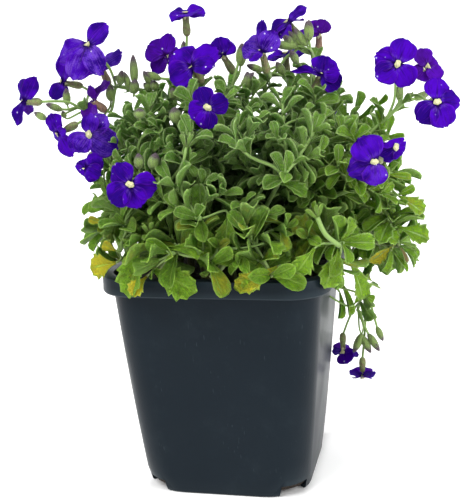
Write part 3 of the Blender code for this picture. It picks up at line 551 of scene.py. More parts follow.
def tube(path, radii):
    """A closed tube along a path, with a radius at each point."""
    turns = [math.tau * side / STEM_SIDES for side in range(STEM_SIDES)]
    rings = []
    for radius, (point, _, across, beside) in zip(radii, frames(path)):
        rings.append([point + (across * math.cos(turn) + beside * math.sin(turn)) * radius for turn in turns])
    return loft(rings)


def short_tubes(path, radii):
    """One short tube between each two points of a path."""
    return [tube(path[step:step + 2], radii[step:step + 2]) for step in range(len(path) - 1)]


def spindle(ends, widths):
    """A turned shape between two points, with a radius at each share of its length."""
    return tube([ends[0].lerp(ends[1], share) for share, _ in widths], [radius for _, radius in widths])


def clamp(value):
    """The nearest number from 0 to 1."""
    return max(0.0, min(1.0, value))


def bent(blade, share):
    """The middle of a bent blade at a share of its length, and the way its face looks there."""
    turn = blade.bend * share
    reach = math.sin(turn) / blade.bend
    drop = (1 - math.cos(turn)) / blade.bend
    middle = blade.root + blade.length * (blade.ahead * reach - blade.face * drop)
    return middle, blade.face * math.cos(turn) + blade.ahead * math.sin(turn)


def blade_shape(blade):
    """A bent blade with a flat face and a keel under it: points and faces."""
    side = blade.ahead.cross(blade.face)
    points = [blade.root]
    stations = blade.stations if blade.stations[-1][0] > 0.9 else blade.stations + ((1.0, 0.0),)
    for share, width_share in stations:
        middle, under = bent(blade, share)
        if width_share == 0.0:
            points.append(middle)
            continue
        half = blade.width * width_share
        points += [middle - side * half, middle + side * half, middle - under * blade.thickness]
    faces = [(0, 2, 1), (0, 3, 2), (0, 1, 3)]
    rows = (len(points) - 1) // 3
    for low in range(1, 3 * rows - 2, 3):
        for near, far in ((0, 1), (1, 2), (2, 0)):
            faces.append((low + near, low + far, low + 3 + far, low + 3 + near))
    last = 3 * rows - 2
    if len(points) > last + 3:
        tip = last + 3
        faces += [(last, last + 1, tip), (last + 1, last + 2, tip), (last + 2, last, tip)]
    else:
        faces.append((last, last + 1, last + 2))
    return points, faces


def dome_point(height, angle):
    """A point on the dome, at a share of its height and an angle round it."""
    reach = (1 - height ** DOME_SQUARENESS) ** (1 / DOME_SQUARENESS)
    return DOME_CENTRE + Vector((
        DOME_HALF_WIDTH * reach * math.cos(angle),
        DOME_HALF_DEPTH * reach * math.sin(angle),
        DOME_SKIRT + (DOME_TOP - DOME_SKIRT) * height,
    ))


def spread_point(index, count, turn=0.0):
    """One of so many points that lie evenly on the dome, from its top down."""
    return dome_point((1 - (index + 0.5) / count) ** DOME_FALL, index * GOLDEN_ANGLE + turn)


def crown(index, turn=0.0):
    """Where shoot number index ends: on the dome, or in the ring that hangs over the rim."""
    dome_shoots = SHOOTS - SKIRT_SHOOTS
    if index < dome_shoots:
        return spread_point(index, dome_shoots, turn)
    return dome_point(SKIRT_STEP * (index % 2), math.tau * (index - dome_shoots) / SKIRT_SHOOTS + turn)


def lean_of(place):
    """The way a shoot ends: upright in the middle of the dome, level or drooping at its skirt."""
    out = Vector((place.x - DOME_CENTRE.x, place.y - DOME_CENTRE.y, 0))
    height = clamp((place.z - DOME_SKIRT) / (DOME_TOP - DOME_SKIRT))
    lean = math.radians(SKIRT_LEAN) * (1 - height ** LEAN_FALL)
    return (out.normalized() * math.sin(lean) + Vector((0, 0, math.cos(lean)))).normalized()


def flower_facing(flower):
    """The way a flower looks."""
    heading = math.radians(flower.heading)
    rise = math.radians(flower.rise)
    level = math.cos(rise)
    return Vector((math.sin(heading) * level, -math.cos(heading) * level, math.sin(rise)))


def path_length(path):
    """Length along the points of a path."""
    return sum((b - a).length for a, b in zip(path, path[1:]))


def stem_path(base, place):
    """A stem that stands in the soil under the base and bends over to its place on the dome."""
    root = Vector((
        SPREAD_CENTRE.x + (base.x - DOME_CENTRE.x) * ROOT_SPREAD,
        SPREAD_CENTRE.y + (base.y - DOME_CENTRE.y) * ROOT_SPREAD,
        SOIL_TOP - HOLE_DEPTH + GAP,
    ))
    start = root + Vector((0, 0, HOLE_DEPTH + 1 * MM))
    arch = (place - start).length * STEM_ARCH
    above = start + Vector((0, 0, arch))
    return [root] + bezier(start, above, place - lean_of(place) * arch, place, STEM_POINTS)


def plan_leafy_shoot(index, room):
    """A shoot without flowers, turned round the dome until its stem has room."""
    for attempt in range(SHOOT_TRIES):
        turn = TRY_TURN * ((attempt + 1) // 2) * (1 if attempt % 2 else -1)
        place = crown(index, turn)
        shoot = Shoot(shoot_name(index), stem_path(place, place), 1.0, [], [], [], ())
        pieces = stem_pieces(shoot, STEM_CLEARANCE)
        if all(room.is_free(piece) for piece in pieces):
            break
    return shoot


def plan_flowering_shoot(index, raceme):
    """A shoot that goes on into a flower stalk, with its flowers' calyces and its buds."""
    place = millimetres(*raceme.foot)
    ahead = lean_of(place)
    stem = stem_path(crown(index), place)
    tip = millimetres(*raceme.tip)
    bow = (tip - place).length / 3
    axis = bezier(place, place + ahead * bow, tip - (tip - place).normalized() * bow, tip, STALK_POINTS)
    crown_share = path_length(stem) / path_length(stem + axis[1:])
    stalks = []
    calyces = []
    buds = []
    for number, flower in enumerate(raceme.flowers):
        facing = flower_facing(flower)
        mouth = millimetres(*flower.place) - facing * (HUB_HEIGHT + GAP)
        foot = mouth - facing * CALYX_LENGTH
        start = axis[STALK_POINTS - len(raceme.flowers) + number] - ahead * STALK_SUNK
        bow = (foot - start).length / 3
        stalks.append(bezier(start, start + ahead * bow, foot - facing * bow, foot + facing * MM, 4))
        calyces.append((foot, mouth))
    for number, bud in enumerate(raceme.buds):
        start = axis[STALK_POINTS - 1 - number] - ahead * 2 * STALK_SUNK
        away = ((millimetres(*bud) - start).normalized() + Vector((0, 0, 0.3))).normalized()
        foot = millimetres(*bud) - away * BUD_LENGTH / 2
        stalks.append(bezier(start, start + ahead * MM * 2, foot - away * MM * 3, foot + away * MM, 4))
        buds.append((foot, foot + away * BUD_LENGTH))
    return Shoot(shoot_name(index), stem + axis[1:], crown_share, stalks, calyces, buds, raceme.flowers)


def side_sites(shoots, place):
    """Points of the leafy stems from which a side shoot may grow to a place, the best first."""
    sites = []
    for order, shoot in enumerate(shoots):
        length = path_length(shoot.stem)
        first = length * (1 - shoot.crown_share) + FIRST_SITE
        last = length * (1 - BARE_STEM_SHARE)
        for step in range(SIDE_SITES):
            point, along = point_on(shoot.stem, first + (last - first) * step / SIDE_SITES)
            distance = (place - point).length
            if SHORTEST_SIDE < distance < LONGEST_SIDE:
                cost = distance + FALL_COST * max(0.0, point.z - place.z)
                sites.append((cost, order, step, point, along))
    sites.sort(key=lambda site: site[:3])
    return sites


def side_path(start, along, place, count):
    """A side shoot's or a twig's stem, which leaves the main stem along it and ends as a crown does."""
    arch = (place - start).length * STEM_ARCH
    return bezier(start, start + along * arch, place - lean_of(place) * arch, place, count)


def plan_side_shoots(shoots, room):
    """Side shoots that fill the dome between the crowns, each where it has room."""
    sides = {shoot.name: [] for shoot in shoots}
    tips = [point_on(shoot.stem, path_length(shoot.stem) * (1 - shoot.crown_share))[0] for shoot in shoots]
    for index in range(SIDE_SPOTS):
        place = spread_point(index, SIDE_SPOTS, SIDE_TURN)
        if min((place - tip).length for tip in tips) < SIDE_SPACE:
            continue
        for _, order, _, start, along in side_sites(shoots, place)[:SITE_TRIES]:
            owner = shoots[order].name
            path = side_path(start, along, place, SIDE_POINTS)
            wide = short_tubes(path, [SIDE_RADIUS + STEM_CLEARANCE] * SIDE_POINTS)
            free = all(room.is_free(piece) for piece in wide[1:]) and room.is_free(wide[0], owner)
            if free and all(clears_pot(piece[0]) for piece in wide):
                sides[owner].append(path)
                tips.append(place)
                for piece in short_tubes(path, [SIDE_RADIUS] * SIDE_POINTS):
                    room.add(piece, owner)
                break
    return sides


def shoot_name(index):
    """Node name of a shoot."""
    return f"shoot_{index + 1:02d}"


def plan_shoots(room):
    """Stems, flower stalks, calyces and buds of every shoot, which fill the room."""
    carried = {}
    for raceme in RACEMES:
        foot = millimetres(*raceme.foot)
        free = [index for index in range(SHOOTS) if index not in carried]
        nearest = min(free, key=lambda index: (crown(index) - foot).length)
        carried[nearest] = raceme
    shoots = {}
    for index, raceme in carried.items():
        shoots[index] = plan_flowering_shoot(index, raceme)
        fill_room(shoots[index], room)
    for index in range(SHOOTS):
        if index not in shoots:
            shoots[index] = plan_leafy_shoot(index, room)
            fill_room(shoots[index], room)
    return [shoots[index] for index in range(SHOOTS)]


def stem_radii(shoot):
    """Radius of a shoot's stem at each of its points."""
    tip = STALK_RADIUS + 0.1 * MM if shoot.flowers else TIP_RADIUS
    last = len(shoot.stem) - 1
    return [STEM_RADIUS + (tip - STEM_RADIUS) * (index / last) for index in range(last + 1)]


def stem_pieces(shoot, clearance=0.0):
    """The stem as one short tube between each two of its points."""
    return short_tubes(shoot.stem, [radius + clearance for radius in stem_radii(shoot)])


def point_on(path, distance_from_end):
    """The point and the direction on a path, measured back from its end."""
    left = distance_from_end
    for index in range(len(path) - 1, 0, -1):
        piece = path[index] - path[index - 1]
        if left <= piece.length or index == 1:
            along = piece.normalized()
            return path[index] - along * min(left, piece.length), along
        left -= piece.length
    raise ValueError("empty path")


def level_across(ahead):
    """A direction square to this one, and level unless this one is upright."""
    upright = Vector((0, 0, 1)) if abs(ahead.z) < 0.9 else Vector((0, 1, 0))
    return upright.cross(ahead).normalized()


def petal_heading(flower, degrees):
    """A direction across the flower, turned about the way it looks."""
    facing = flower_facing(flower)
    return Matrix.Rotation(math.radians(degrees), 3, facing) @ level_across(facing)


def petal_blades(flower):
    """The four petals of a flower."""
    facing = flower_facing(flower)
    draw = random.Random(f"{SEED} {flower.name}")
    blades = []
    for angle in flower.angles:
        ahead = petal_heading(flower, angle + draw.uniform(*PETAL_SWING))
        root = millimetres(*flower.place) - facing * HUB_HEIGHT * 0.4
        root += ahead * (HUB_RADIUS * 0.7 - PETAL_SUNK)
        ahead = (ahead + facing * (flower.cup + draw.uniform(*PETAL_LIFT))).normalized()
        face = (facing - ahead * facing.dot(ahead)).normalized()
        length = flower.petal * MM * draw.uniform(*PETAL_SIZES)
        bend = draw.uniform(*PETAL_BENDS)
        blades.append(Blade(root, ahead, face, length, length * PETAL_WIDTH_SHARE, bend,
                            PETAL_STATIONS, PETAL_THICKNESS))
    return blades


def leaf_blade(shoot_number, number, attempt, place, along, draw_values, largest):
    """One leaf on a shoot: lower leaves are larger and stand out further."""
    spin, lean, size = draw_values
    age = min(1.0, number / LEAVES_TO_FULL_SIZE)
    angle = number * GOLDEN_ANGLE + shoot_number + 0.5 * spin + attempt * LEAF_TRY_TURN
    across = Vector((0, 0, 1)).cross(along)
    if across.length < 0.1:
        across = Vector((1, 0, 0))
    across.normalize()
    outward = Matrix.Rotation(angle, 3, along) @ across
    spread = OPENS_WITH_AGE + OPENS_WHEN_LEVEL * (1 - max(0.0, along.z))
    open_angle = math.radians(LEAF_OPENS + spread * age + OPENING_SWING * lean + OPENING_STEP * (attempt % 3))
    ahead = along * math.cos(open_angle) + outward * math.sin(open_angle)
    ahead = (ahead + Vector((0, 0, LEAF_RISE))).normalized()
    light = (place - SPREAD_CENTRE).normalized() * LEAF_LIGHT + Vector((0, 0, 0.1))
    face = along * math.sin(open_angle) - outward * math.cos(open_angle) + light
    face = (face - ahead * face.dot(ahead)).normalized()
    length = LEAF_SHORTEST + (largest - LEAF_SHORTEST) * age
    length = length * (1 + LENGTH_SWING * size) * (1 - TRY_SHRINK * attempt)
    stations = TOOTHED_STATIONS if number >= FIRST_TOOTHED else PLAIN_STATIONS
    root = place - ahead * LEAF_SUNK
    bend = LEAF_BEND + AGE_BEND * age
    return Blade(root, ahead, face, length, length * LEAF_WIDTH_SHARE, bend, stations, LEAF_THICKNESS)


def swollen(blade):
    """The same blade a little larger all round, for testing its clearance."""
    root = blade.root + blade.face * LEAF_CLEARANCE + blade.ahead * ROOT_CLEARANCE
    return blade._replace(root=root, length=blade.length - ROOT_CLEARANCE + 1.5 * LEAF_CLEARANCE,
                          width=blade.width + 2 * LEAF_CLEARANCE,
                          thickness=blade.thickness + 2 * LEAF_CLEARANCE)


def clears_pot(points):
    """Whether no stretch between the points comes near the pot."""
    reach = RIM_WIDTH / 2 + POT_CLEARANCE
    for start, end in zip(points, points[3:]):
        for step in range(5):
            spot = start.lerp(end, step / 4)
            if spot.z < POT_HEIGHT + POT_CLEARANCE and abs(spot.x) < reach and abs(spot.y) < reach:
                return False
    return True


def ball(points):
    """Middle and radius of a ball that holds the points."""
    middle = sum(points, Vector()) / len(points)
    return middle, max((point - middle).length for point in points)


class Room:
    """What already stands in the dome, for placing each leaf clear of it."""

    def __init__(self):
        self.taken = []

    def add(self, shape, owner):
        """Take up the room of a shape, which the owner may cross."""
        self.taken.append((*ball(shape[0]), BVHTree.FromPolygons(*shape), owner))

    def is_free(self, shape, owner=None):
        """Whether the shape crosses nothing but its owner's own pieces."""
        middle, radius = ball(shape[0])
        near = [tree for spot, size, tree, holder in self.taken
                if (holder is None or holder != owner) and (spot - middle).length < size + radius]
        if not near:
            return True
        own = BVHTree.FromPolygons(*shape)
        return not any(own.overlap(tree) for tree in near)


def leaf_places(shoots, sides):
    """Where leaves may grow: number, shoot, side shoot or -1, distance from the tip and largest length."""
    places = []
    for index, shoot in enumerate(shoots):
        length = path_length(shoot.stem)
        crown_start = length * (1 - shoot.crown_share)
        low = shoot.stem[-1].z < LOW_SHOOT and not shoot.flowers
        largest = LEAF_LONGEST * (LOW_LEAF_SIZE if low else HIGH_LEAF_SIZE)
        for number in range(SKIRT_LEAVES if low else DOME_LEAVES):
            back = crown_start + leaf_distance(number)
            if back < length * (1 - BARE_STEM_SHARE):
                places.append((number, index, -1, back, largest))
        extra = next((r.leaves for r in RACEMES if r.flowers == shoot.flowers), 0) if shoot.flowers else 0
        for number in range(extra):
            back = crown_start * (number + 0.8) / (extra + 0.6)
            places.append((number + 2, index, -1, back, LEAF_SHORTEST * STALK_LEAF_SIZE))
        for order, path in enumerate(sides[shoot.name]):
            for number in range(SIDE_LEAVES):
                if leaf_distance(number) < path_length(path) * SIDE_LEAFY_SHARE:
                    places.append((number, index, order, leaf_distance(number), largest))
    return sorted(places)


def leaf_distance(number):
    """How far from the tip a leaf grows."""
    return LEAF_SPACING * number + LEAF_SPACING_GROWTH * number ** 2 + FIRST_LEAF


def plan_leaves(shoots, sides, room):
    """Leaves of every shoot, from the tips down, each where it has room."""
    leaves = {shoot.name: [] for shoot in shoots}
    for number, index, order, back, largest in leaf_places(shoots, sides):
        shoot = shoots[index]
        draw = random.Random(f"{SEED} {index} {number} {order} {back:.4f}")
        values = [draw.uniform(-1, 1) for _ in range(3)]
        place, along = point_on(sides[shoot.name][order] if order >= 0 else shoot.stem, back)
        for attempt in range(LEAF_TRIES):
            blade = leaf_blade(index + 2 * order, number, attempt, place, along, values, largest)
            wide = blade_shape(swollen(blade))
            shape = blade_shape(blade)
            if clears_pot(wide[0]) and room.is_free(wide) and room.is_free(shape, shoot.name):
                leaves[shoot.name].append(blade)
                room.add(shape, shoot.name)
                break
    return leaves


def fill_room(shoot, room):
    """Take up the room of a shoot and its flowers, and of the air in front of each flower."""
    shapes = stem_pieces(shoot)
    for path in shoot.stalks:
        shapes += short_tubes(path, [STALK_RADIUS] * len(path))
    shapes += [spindle(ends, CALYX_WIDTHS) for ends in shoot.calyces]
    shapes += [spindle(ends, BUD_WIDTHS) for ends in shoot.buds]
    for flower in shoot.flowers:
        shapes += [blade_shape(blade) for blade in petal_blades(flower)]
    for shape in shapes:
        room.add(shape, shoot.name)
    for flower in shoot.flowers:
        middle = millimetres(*flower.place)
        facing = flower_facing(flower)
        path = [middle + facing * CLEAR_START, middle + facing * CLEAR_DEPTH]
        room.add(tube(path, [flower.petal * MM * CLEAR_SHARE] * 2), None)


def pot_half_width(height):
    """Half the outer width of the pot's wall at a height."""
    return (FOOT_WIDTH + (NECK_WIDTH - FOOT_WIDTH) * height / NECK_HEIGHT) / 2


def pot_radius(height):
    """Corner radius at a height: a little rounder at the foot."""
    return CORNER_RADIUS + FOOT_ROUNDING * max(0.0, 1 - height / (0.5 * FACET_HEIGHT)) ** 2


def nearest_path_point(shoots, sides, place, highest):
    """The point of a stem or side shoot that is near and not far above the given height, and whose it is."""
    spots = [(shoot.name, point) for shoot in shoots for path in [shoot.stem] + sides[shoot.name]
             for point in smooth_path(path, 4)[2:]]
    return min(spots, key=lambda spot: (spot[1] - place).length + max(0.0, spot[1].z - highest))


def plan_edge_leaves(shoots, sides, room):
    """The leaves at the plant's edge, each with a thin stalk to the nearest leafy stem."""
    edge = {shoot.name: [] for shoot in shoots}
    for foot, tip, width, fade in EDGE_LEAVES:
        foot, tip = millimetres(*foot), millimetres(*tip)
        owner, start = nearest_path_point(shoots, sides, foot, foot.z + EDGE_START)
        ahead = (tip - foot).normalized()
        out = Vector((foot.x, foot.y, 0)).normalized() + EDGE_LOOK
        face = (out - ahead * out.dot(ahead)).normalized()
        length = (tip - foot).length * EDGE_LENGTH
        blade = Blade(foot, ahead, face, length, width * MM, EDGE_BEND, TOOTHED_STATIONS, EDGE_THICKNESS)
        stalk = bezier(start, start.lerp(foot, 0.4), foot - ahead * 4 * MM, foot, 5)
        edge[owner].append((blade, fade, stalk))
        room.add(blade_shape(blade), owner)
    return edge


def stem_spots(shoots, sides):
    """Where twigs may leave the stems and side shoots: whose it is, the point and the direction."""
    spots = []
    for shoot in shoots:
        length = path_length(shoot.stem)
        paths = [(shoot.stem, length * (1 - shoot.crown_share) + SPOT_START, length * STEM_SPOT_SHARE)]
        paths += [(path, SIDE_SPOT_START, path_length(path) * SIDE_SPOT_SHARE) for path in sides[shoot.name]]
        for path, first, last in paths:
            spots += [(shoot.name, *point_on(path, first + (last - first) * step / SPOTS)) for step in range(SPOTS)]
    return spots


def nearest_on_stems(spots, place):
    """The spot that suits a twig to this place: near it, and lower or further in."""
    def cost(spot):
        distance = (place - spot[1]).length
        above = max(0.0, spot[1].z - place.z + SPOT_LOWER)
        return distance + SPOT_RISE_COST * above + SPOT_NEAR_COST * max(0.0, SPOT_FAR - distance)
    return min(spots, key=cost)


def plan_twigs(shoots, spots, room, count):
    """Fine twigs whose tips lie on or inside the dome, each grown from the stem that is nearest."""
    twigs = {shoot.name: [] for shoot in shoots}
    for index in range(count):
        draw = random.Random(f"{SEED} twig {index}")
        share = TWIG_LAYERS[index % len(TWIG_LAYERS)]
        place = DOME_CORE + (spread_point(index, count, TWIG_TURN) - DOME_CORE) * share
        place += Vector((0, 0, draw.uniform(*TWIG_DROP) * MM))
        owner, start, along = nearest_on_stems(spots, place)
        if (place - start).length * STEM_ARCH < SHORTEST_ARCH:
            continue
        path = side_path(start, along, place, TWIG_POINTS)
        if all(clears_pot([a, b, a, b]) for a, b in zip(path[1:], path[2:])):
            twigs[owner].append(path)
            for piece in short_tubes(path[1:], [TWIG_RADIUS] * TWIG_POINTS):
                room.add(piece, owner)
    return twigs


def plan_twig_leaves(twigs, room, most):
    """Leaves of the twigs, from their tips down, each where it has room."""
    leaves = {name: [] for name in twigs}
    places = []
    for owner in sorted(twigs):
        for order, path in enumerate(twigs[owner]):
            for number in range(most):
                back = TWIG_SPACING * number + TWIG_SPACING_GROWTH * number ** 2 + FIRST_TWIG_LEAF
                if back < path_length(path) * TWIG_LEAFY_SHARE:
                    places.append((number, owner, order, back))
    places.sort()
    for number, owner, order, back in places:
        place, along = point_on(twigs[owner][order], back)
        draw = random.Random(f"{SEED} {owner} {order} {number}")
        values = [draw.uniform(-1, 1) for _ in range(3)]
        rise = clamp((place.z - LOW_SHOOT) / TOP_LEAF_RISE)
        largest = TWIG_LEAF_LONGEST + (TOP_LEAF_LONGEST - TWIG_LEAF_LONGEST) * rise
        if place.z < LOW_SHOOT:
            largest = LEAF_LONGEST
        scale = min(1.0, TWIG_SHRINK + TWIG_SHRINK_STEP * number)
        for attempt in range(LEAF_TRIES):
            blade = leaf_blade(3 * order, number, attempt, place, along, values, largest)
            blade = blade._replace(length=blade.length * scale, width=blade.width * scale)
            slim = blade_shape(blade._replace(thickness=THIN_LEAF, root=blade.root + blade.ahead * ROOT_CLEARANCE,
                                              length=blade.length - ROOT_CLEARANCE))
            if clears_pot(slim[0]) and room.is_free(slim):
                leaves[owner].append((blade, number))
                room.add(blade_shape(blade), owner)
                break
    return leaves


def plan_inner_leaves(shoots, spots, room):
    """Leaves deep inside the dome, straight from the stems, each where it has room."""
    leaves = {shoot.name: [] for shoot in shoots}
    for index in range(INNER_LEAVES):
        draw = random.Random(f"{SEED} inner {index}")
        surface = spread_point(index, INNER_LEAVES)
        place = DOME_CORE + (surface - DOME_CORE) * draw.uniform(*INNER_SHARES)
        owner, start, _ = nearest_on_stems(spots, place)
        ahead = (place - start).normalized()
        outward = (surface - DOME_CORE).normalized()
        face = (outward - ahead * outward.dot(ahead)).normalized()
        length = draw.uniform(*INNER_LENGTHS) * MM
        blade = Blade(start + ahead * 0.5 * MM, ahead, face, length, length * draw.uniform(*INNER_WIDTHS),
                      INNER_BEND, (), THIN_LEAF)
        slim = blade_shape(blade._replace(root=start + ahead * ROOT_CLEARANCE, length=length - ROOT_CLEARANCE,
                                          stations=PLAIN_STATIONS))
        if clears_pot(slim[0]) and room.is_free(slim):
            leaves[owner].append(blade)
            room.add(slim, owner)
    return leaves


@functools.lru_cache(maxsize=1)
def plan_plant(twig_count, twig_leaves):
    """Shoots with their side shoots and leaves, then edge leaves, leafy twigs and inner leaves, all in one room."""
    room = Room()
    shoots = plan_shoots(room)
    sides = plan_side_shoots(shoots, room)
    leaves = plan_leaves(shoots, sides, room)
    edge = plan_edge_leaves(shoots, sides, room)
    spots = stem_spots(shoots, sides)
    twigs = plan_twigs(shoots, spots, room, twig_count)
    small = plan_twig_leaves(twigs, room, twig_leaves)
    return shoots, sides, leaves, edge, twigs, small, plan_inner_leaves(shoots, spots, room)


def smooth_path(path, steps):
    """A finer path that runs smoothly through the points of a coarse one."""
    points = []
    ends = [path[0] * 2 - path[1]] + list(path) + [path[-1] * 2 - path[-2]]
    for before, start, end, after in zip(ends, ends[1:], ends[2:], ends[3:]):
        for step in range(steps):
            t = step / steps
            pull = 2 * before - 5 * start + 4 * end - after
            swing = 3 * (start - end) + after - before
            points.append(start + 0.5 * t * (end - before + t * (pull + t * swing)))
    points.append(path[-1].copy())
    return points


def grow_ring(bm, edges):
    """Extrude a ring of edges: the new vertices, and the new ring's edges."""
    grown = bmesh.ops.extrude_edge_only(bm, edges=edges)["geom"]
    ring = [item for item in grown if isinstance(item, bmesh.types.BMVert)]
    kept = set(ring)
    return ring, [item for item in grown if isinstance(item, bmesh.types.BMEdge) and set(item.verts) <= kept]


def sweep(bm, path, radii, sides, material=0, rib=0.0):
    """A tube grown along a path from a circle, with a radius at each point, ridged by the rib, and capped."""
    ring = bmesh.ops.create_circle(bm, cap_ends=True, segments=sides, radius=1)["verts"]
    made = list(ring)
    for vert in ring[::2]:
        vert.co *= 1 + rib
    edges = list(dict.fromkeys(edge for vert in ring for edge in vert.link_edges))
    pose = Matrix.Identity(4)
    for index, (point, along, across, beside) in enumerate(frames(path)):
        turn = Matrix((across, beside, along)).transposed().to_4x4()
        target = Matrix.Translation(point) @ turn @ Matrix.Diagonal((radii[index], radii[index], 1, 1))
        if index:
            ring, edges = grow_ring(bm, edges)
            made += ring
        bmesh.ops.transform(bm, matrix=target @ pose.inverted(), verts=ring)
        pose = target
    bmesh.ops.contextual_create(bm, geom=edges)
    for face in {face for vert in made for face in vert.link_faces}:
        face.material_index = material
    return made


def tapered(path, start, end):
    """A radius at each point of a path, from start to end."""
    last = len(path) - 1
    return [start + (end - start) * index / last for index in range(last + 1)]


def add_stem(bm, points, steps, start, end, material=1):
    """A thin round stem that runs smoothly through a few points, from one radius to another."""
    path = smooth_path(points, steps)
    sweep(bm, path, tapered(path, start, end), 6, material=material)


def blade_form(name, outline, columns, cup, wave, phase, thickness, ragged=0.0, domed=0.035):
    """A thin blade one unit long, drawn from a grid to an outline of shares of the length and half widths."""
    bm = bmesh.new()
    bmesh.ops.create_grid(bm, x_segments=columns, y_segments=len(outline) - 1, size=0.5)
    layers = {key: bm.verts.layers.float.new(key) for key in BLADE_LAYERS}
    heights = {}
    for vert in bm.verts:
        across = 2 * vert.co.x
        row = round((vert.co.y + 0.5) * (len(outline) - 1))
        share, half = outline[row]
        ripple = wave * math.sin(9 * share + phase + 2.2 * across) * across * across
        groove = -0.014 * max(0.0, 1 - abs(across) / 0.3)
        height = cup * half * abs(across) ** 1.5 + ripple + groove
        rounded = domed * (1 - across * across) * max(0.0, share - 0.8) / 0.2
        crimp = ragged * (math.sin(6.1 * across + 3 * phase) + 0.8 * math.sin(13 * across + phase)) * share ** 4
        notch = 1 + 1.2 * ragged * math.sin(15 * share + 2 * phase + across)
        vert.co = Vector((across * half * notch, share + rounded + crimp, height))
        vert[layers["across"]] = across
        vert[layers["along"]] = share
        heights[round(across, 3), round(share, 3)] = height
    bmesh.ops.solidify(bm, geom=bm.faces[:], thickness=thickness)
    for vert in bm.verts:
        base = heights[round(vert[layers["across"]], 3), round(vert[layers["along"]], 3)]
        vert[layers["back"]] = vert.co.z - base
    lifts = [vert[layers["back"]] for vert in bm.verts]
    upward = max(lifts) > -min(lifts)
    for vert in bm.verts:
        raised = abs(vert[layers["back"]]) > thickness / 3
        vert[layers["back"]] = float(raised != upward)
    bmesh.ops.recalc_face_normals(bm, faces=bm.faces)
    form = bpy.data.meshes.new(name)
    bm.to_mesh(form)
    bm.free()
    return form


def lay_blade(bm, form, blade, **values):
    """A copy of a form, bent along a blade, with the given values in its layers."""
    start = len(bm.verts)
    first_face = len(bm.faces)
    bm.from_mesh(form)
    bm.verts.ensure_lookup_table()
    bm.faces.ensure_lookup_table()
    side = blade.ahead.cross(blade.face)
    layers = {key: bm.verts.layers.float[key] for key in values}
    for vert in bm.verts[start:]:
        across, share, height = vert.co
        middle, under = bent(blade, share)
        vert.co = middle + side * across * blade.width + under * height * blade.length
        for key, layer in layers.items():
            vert[layer] = values[key]
    for face in bm.faces[first_face:]:
        face.material_index = 0


def depth_of(place):
    """How deep inside the dome a place lies, from 0 at its surface to 1, which sets the painted shade of the leaves
    there.
    """
    offset = place - DOME_CORE
    reach = Vector((offset.x / DOME_REACH.x, offset.y / DOME_REACH.y, offset.z / DOME_REACH.z)).length
    return clamp((1 - reach) / PAINTED_SHADE_SPAN)


def new_bmesh():
    """An empty mesh with the layers that the finishes read."""
    bm = bmesh.new()
    for key in BLADE_LAYERS:
        bm.verts.layers.float.new(key)
    return bm


def add_object(name, data):
    """A new object in the scene that shows this data."""
    thing = bpy.data.objects.new(name, data)
    bpy.context.scene.collection.objects.link(thing)
    return thing


def add_mesh(name, bm):
    """A new object in the scene with this mesh, which is freed."""
    mesh = bpy.data.meshes.new(name)
    bm.to_mesh(mesh)
    bm.free()
    return add_object(name, mesh)


def make_piece(name, bm, materials, replaced=()):
    """The finished mesh as a piece of the plant."""
    bmesh.ops.recalc_face_normals(bm, faces=bm.faces)
    for face in bm.faces:
        face.smooth = True
    piece = add_mesh(name, bm)
    for material in materials:
        piece.data.materials.append(material)
    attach(piece, BODY)
    if replaced:
        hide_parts(*replaced)
    return piece


class Value:
    """A socket of a node: Python operators on it add Math nodes."""

    def __init__(self, finish, socket):
        self.finish = finish
        self.socket = socket

    def maths(self, operation, *values):
        """A Math node on these values."""
        return self.finish.node("ShaderNodeMath", {"operation": operation}, dict(enumerate(values)))

    def __add__(self, other):
        return self.maths("ADD", self, other)

    def __radd__(self, other):
        return self.maths("ADD", other, self)

    def __sub__(self, other):
        return self.maths("SUBTRACT", self, other)

    def __rsub__(self, other):
        return self.maths("SUBTRACT", other, self)

    def __mul__(self, other):
        return self.maths("MULTIPLY", self, other)

    def __rmul__(self, other):
        return self.maths("MULTIPLY", other, self)

    def __abs__(self):
        return self.maths("ABSOLUTE", self)


